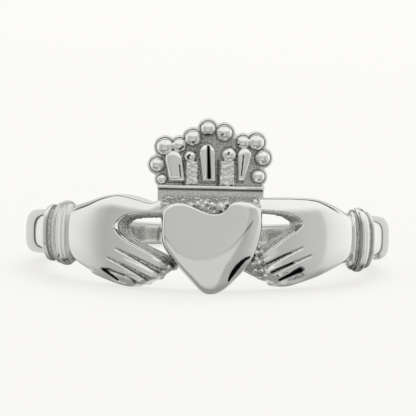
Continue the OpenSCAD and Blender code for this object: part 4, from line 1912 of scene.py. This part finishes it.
@dataclass
class Studio:
    """A pale floor, soft light, the studio that the silver mirrors, and the camera.

    Attributes:
        seat: Where the ring lies.
        distance: How far the camera stands from the finger's axis, in millimetres.
        look_height: The height over the ring's middle that it looks at, in millimetres.
        pixels_per_mm: How large the picture shows the ring's middle.
        image_width: The picture's width in pixels.
        sensor: The camera's sensor width.
        roll: How far the camera is rolled, in degrees.
        pale: The background's colour, which the floor's look matches.
        floor_size: The floor's size in metres.
        card: Corners of a strip of black card on the floor, in millimetres, that the heart's flank
            mirrors.
        card_height: The card's height over the floor, in millimetres.
        lamp_size: The soft light's size in metres.
        lamp_power: Its power in watts.
        lamp_place: Its place in metres.
    """

    seat: Seat
    distance: float = 200.0
    look_height: float = 1.47
    pixels_per_mm: float = 18.02
    image_width: float = 416.0
    sensor: float = 36.0
    roll: float = 1.2
    pale: str = "#faf9f5"
    floor_size: float = 6.0
    card: tuple[tuple[float, float], ...] = (
        (2.1, -10.25), (2.2, -10.64), (2.8, -11.15), (3.43, -11.55), (4.36, -11.5), (5.32, -10.9),
        (6.0, -9.7), (5.5, -9.6), (4.76, -10.29), (3.84, -10.40), (3.11, -10.37), (2.3, -10.2),
    )
    card_height: float = 0.02
    lamp_size: float = 0.5
    lamp_power: float = 2.2
    lamp_place: tuple[float, float, float] = (0.12, 0.35, 0.6)

    def set_out(self, obj: bpy.types.Object, name: str, looks: dict[str, object]) -> None:
        """Dresses a piece of the studio in a matt material and sets it out beside the ring.

        Args:
            obj: The piece.
            name: The material's name.
            looks: The material's colours and strengths by name.
        """
        material = bpy.data.materials.new(name)
        material.use_nodes = True
        shader = material.node_tree.nodes["Principled BSDF"]
        for look, value in {"Roughness": 1.0, "Specular IOR Level": 0.0, **looks}.items():
            shader.inputs[look].default_value = value
        obj.data.materials.append(material)

    def floor(self) -> None:
        """Adds the floor, a light table of frosted acrylic that glows evenly and leaves faint shadows."""
        deselect()
        bpy.ops.mesh.primitive_plane_add(size=self.floor_size, location=(0, 0, 0))
        made = bpy.context.active_object
        made.name = "floor"
        made.visible_glossy = False
        self.set_out(made, "frosted_acrylic_light_table", {
            "Base Color": (0.20, 0.1985, 0.192, 1),
            "Emission Color": (0.735, 0.728, 0.702, 1),
            "Emission Strength": 1.0,
        })

    def black_card(self) -> None:
        """Lays the strip of matt black card, which only the silver shows."""
        made = Skin("black_card", [Vector((x, y, self.card_height)) * MM for x, y in self.card]).close()
        made.visible_camera = made.visible_diffuse = made.visible_shadow = False
        self.set_out(made, "black_card", {"Base Color": (0.004, 0.004, 0.004, 1)})

    def greys_round(self, tree: bpy.types.NodeTree, turn: bpy.types.NodeSocket) -> list[bpy.types.NodeSocket]:
        """Lays out the studio's greys round the ring.

        Args:
            tree: The world's node tree.
            turn: The direction's angle from the camera's side, in radians.

        Returns:
            The greys at the ring's level, above it and below it.
        """
        share = add_node(
            tree, "ShaderNodeMapRange", {"Value": turn, "From Min": -math.pi, "From Max": math.pi}
        ).outputs["Result"]
        made = []
        for stops in (LEVEL, ABOVE, BELOW):
            ramp = add_node(tree, "ShaderNodeValToRGB", {"Fac": share})
            elements = ramp.color_ramp.elements
            while len(elements) < len(stops):
                elements.new(0.5)
            for element, (degrees, grey) in zip(elements, stops):
                element.position = degrees / 360 + 0.5
                element.color = (grey, grey, grey * 0.99, 1)
            made.append(ramp.outputs["Color"])
        return made

    def zones(
        self, tree: bpy.types.NodeTree, up: bpy.types.NodeSocket, toward: bpy.types.NodeSocket
    ) -> dict[str, bpy.types.NodeSocket]:
        """Works out the studio's zones.

        Args:
            tree: The world's node tree.
            up: The direction's height.
            toward: How far the direction points to the camera's side.

        Returns:
            How far a direction lies in each zone, by the zone's name.
        """
        measured = {"up": up, "toward": toward}
        made = {
            name: add_node(
                tree, "ShaderNodeMapRange", {"Value": measured[what], "From Min": start, "From Max": full},
                interpolation_type="SMOOTHSTEP",
            ).outputs["Result"]
            for name, (what, start, full) in ZONES.items()
        }
        made["low"] = add_node(
            tree, "ShaderNodeMix",
            {"Factor": made["sides"], "A": made["low_in_front"], "B": made["low_at_sides"]},
            data_type="FLOAT",
        ).outputs[0]
        made["line_front"] = add_node(
            tree, "ShaderNodeMath", {0: 0.8, 1: made["sides"]}, operation="SUBTRACT", use_clamp=True
        ).outputs[0]
        for name, limits in {
            "line": ("line_top", "line_foot", "line_ends", "line_front"),
            "bar": ("bar_front", "bar_back", "bar_foot"),
        }.items():
            made[name] = made[limits[0]]
            for limit in limits[1:]:
                made[name] = add_node(
                    tree, "ShaderNodeMath", {0: made[name], 1: made[limit]}, operation="MULTIPLY"
                ).outputs[0]
        return made

    def surroundings(self) -> None:
        """Makes the studio that the silver mirrors.

        It is grey behind the camera and bright at the sides, with a black flag on each side
        behind the ring, from the floor to over the ring, that draws the dark lines along edges.
        A fine dark line runs low in front, it is darker right below the ring, and a black bar
        overhead behind the ring draws the lines along the tops of palms and beads.
        The camera itself sees the pale background.
        """
        world = bpy.data.worlds.new("soft_studio")
        bpy.context.scene.world = world
        world.use_nodes = True
        tree = world.node_tree
        tree.nodes.clear()
        way = add_node(tree, "ShaderNodeTexCoord").outputs["Generated"]
        parts = add_node(tree, "ShaderNodeSeparateXYZ", {"Vector": way}).outputs
        toward = add_node(tree, "ShaderNodeMath", {0: parts["Y"], 1: -1.0}, operation="MULTIPLY").outputs[0]
        turn = add_node(tree, "ShaderNodeMath", {0: parts["X"], 1: toward}, operation="ARCTAN2").outputs[0]
        tone, above, below = self.greys_round(tree, turn)
        zones = self.zones(tree, parts["Z"], toward)
        zones["seen"] = add_node(tree, "ShaderNodeLightPath").outputs["Is Camera Ray"]
        for name, grey in {
            "high": above, "low": below, "line": LINE_GREY, "under": UNDER_GREY, "bar": BAR_GREY,
            "seen": linear(self.pale),
        }.items():
            tone = add_node(
                tree, "ShaderNodeMix", {MIX_SHARE: zones[name], MIX_FIRST: tone, MIX_SECOND: grey},
                data_type="RGBA",
            ).outputs[MIXED]
        glow = add_node(tree, "ShaderNodeBackground", {"Color": tone})
        add_node(tree, "ShaderNodeOutputWorld", {"Surface": glow.outputs[0]})

    def lamp(self) -> None:
        """Adds the soft light that the floor takes and the metal doesn't mirror."""
        light = bpy.data.lights.new("soft_light", "AREA")
        light.size = self.lamp_size
        light.energy = self.lamp_power
        made = bpy.data.objects.new("soft_light", light)
        bpy.context.scene.collection.objects.link(made)
        made.location = self.lamp_place
        made.rotation_euler = (Vector((0, 0, 0)) - made.location).to_track_quat("-Z", "Y").to_euler()
        made.visible_glossy = False

    def camera(self) -> None:
        """Adds the camera at the photograph's view of the ring."""
        data = bpy.data.cameras.new("camera")
        made = bpy.data.objects.new("camera", data)
        bpy.context.scene.collection.objects.link(made)
        data.sensor_width = self.sensor
        data.lens = self.sensor * self.pixels_per_mm * self.distance / self.image_width
        data.clip_start, data.clip_end = 0.01, 20.0
        place = Vector((0, -self.distance, 0))
        aim = (Vector((0, 0, self.look_height)) - place).to_track_quat("-Z", "Y").to_matrix().to_4x4()
        level = Matrix.Rotation(math.radians(self.roll), 4, "Z")
        local = Matrix.Translation(place) @ aim @ level
        world = self.seat.matrix() @ local
        at, turn, _ = world.decompose()
        made.matrix_world = Matrix.Translation(at) @ turn.to_matrix().to_4x4()
        bpy.context.scene.camera = made

    def build(self) -> None:
        """Builds the studio."""
        self.floor()
        self.black_card()
        self.surroundings()
        self.lamp()
        self.camera()
        bpy.context.scene.view_settings.view_transform = "Standard"


def hand_over(obj: bpy.types.Object, seat: Seat, material: bpy.types.Material) -> None:
    """Lays a piece in its place, dresses it and ties it to the ring.

    Args:
        obj: The finished piece, on the ring's own axis.
        seat: Where the ring lies.
        material: The silver.
    """
    seat.lay(obj)
    obj.data.materials.clear()
    obj.data.materials.append(material)
    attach(obj, BODY)
    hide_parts(NODE)
    log.info("%s: %d faces", obj.name, len(obj.data.polygons))


def main() -> None:
    """Builds the ring's pieces and the studio."""
    seat = Seat(tuple(MOUNT["pos_m"]), tuple(MOUNT["axis"]))
    silver = CastSilver("cast_sterling_silver").material()
    pieces = [Band().build(), Heart().build(seat)]
    for side in Side:
        pieces += [Cuff(side, *CUFF_PLACES[side]).build(), Hand(side).build()]
    pieces += Crown().build()
    pieces.append(Lumps().build())
    for piece in pieces:
        hand_over(piece, seat, silver)
    Studio(seat).build()


if __name__ == "__main__":
    logging.basicConfig(level=logging.INFO, format="%(name)s: %(message)s")
    main()
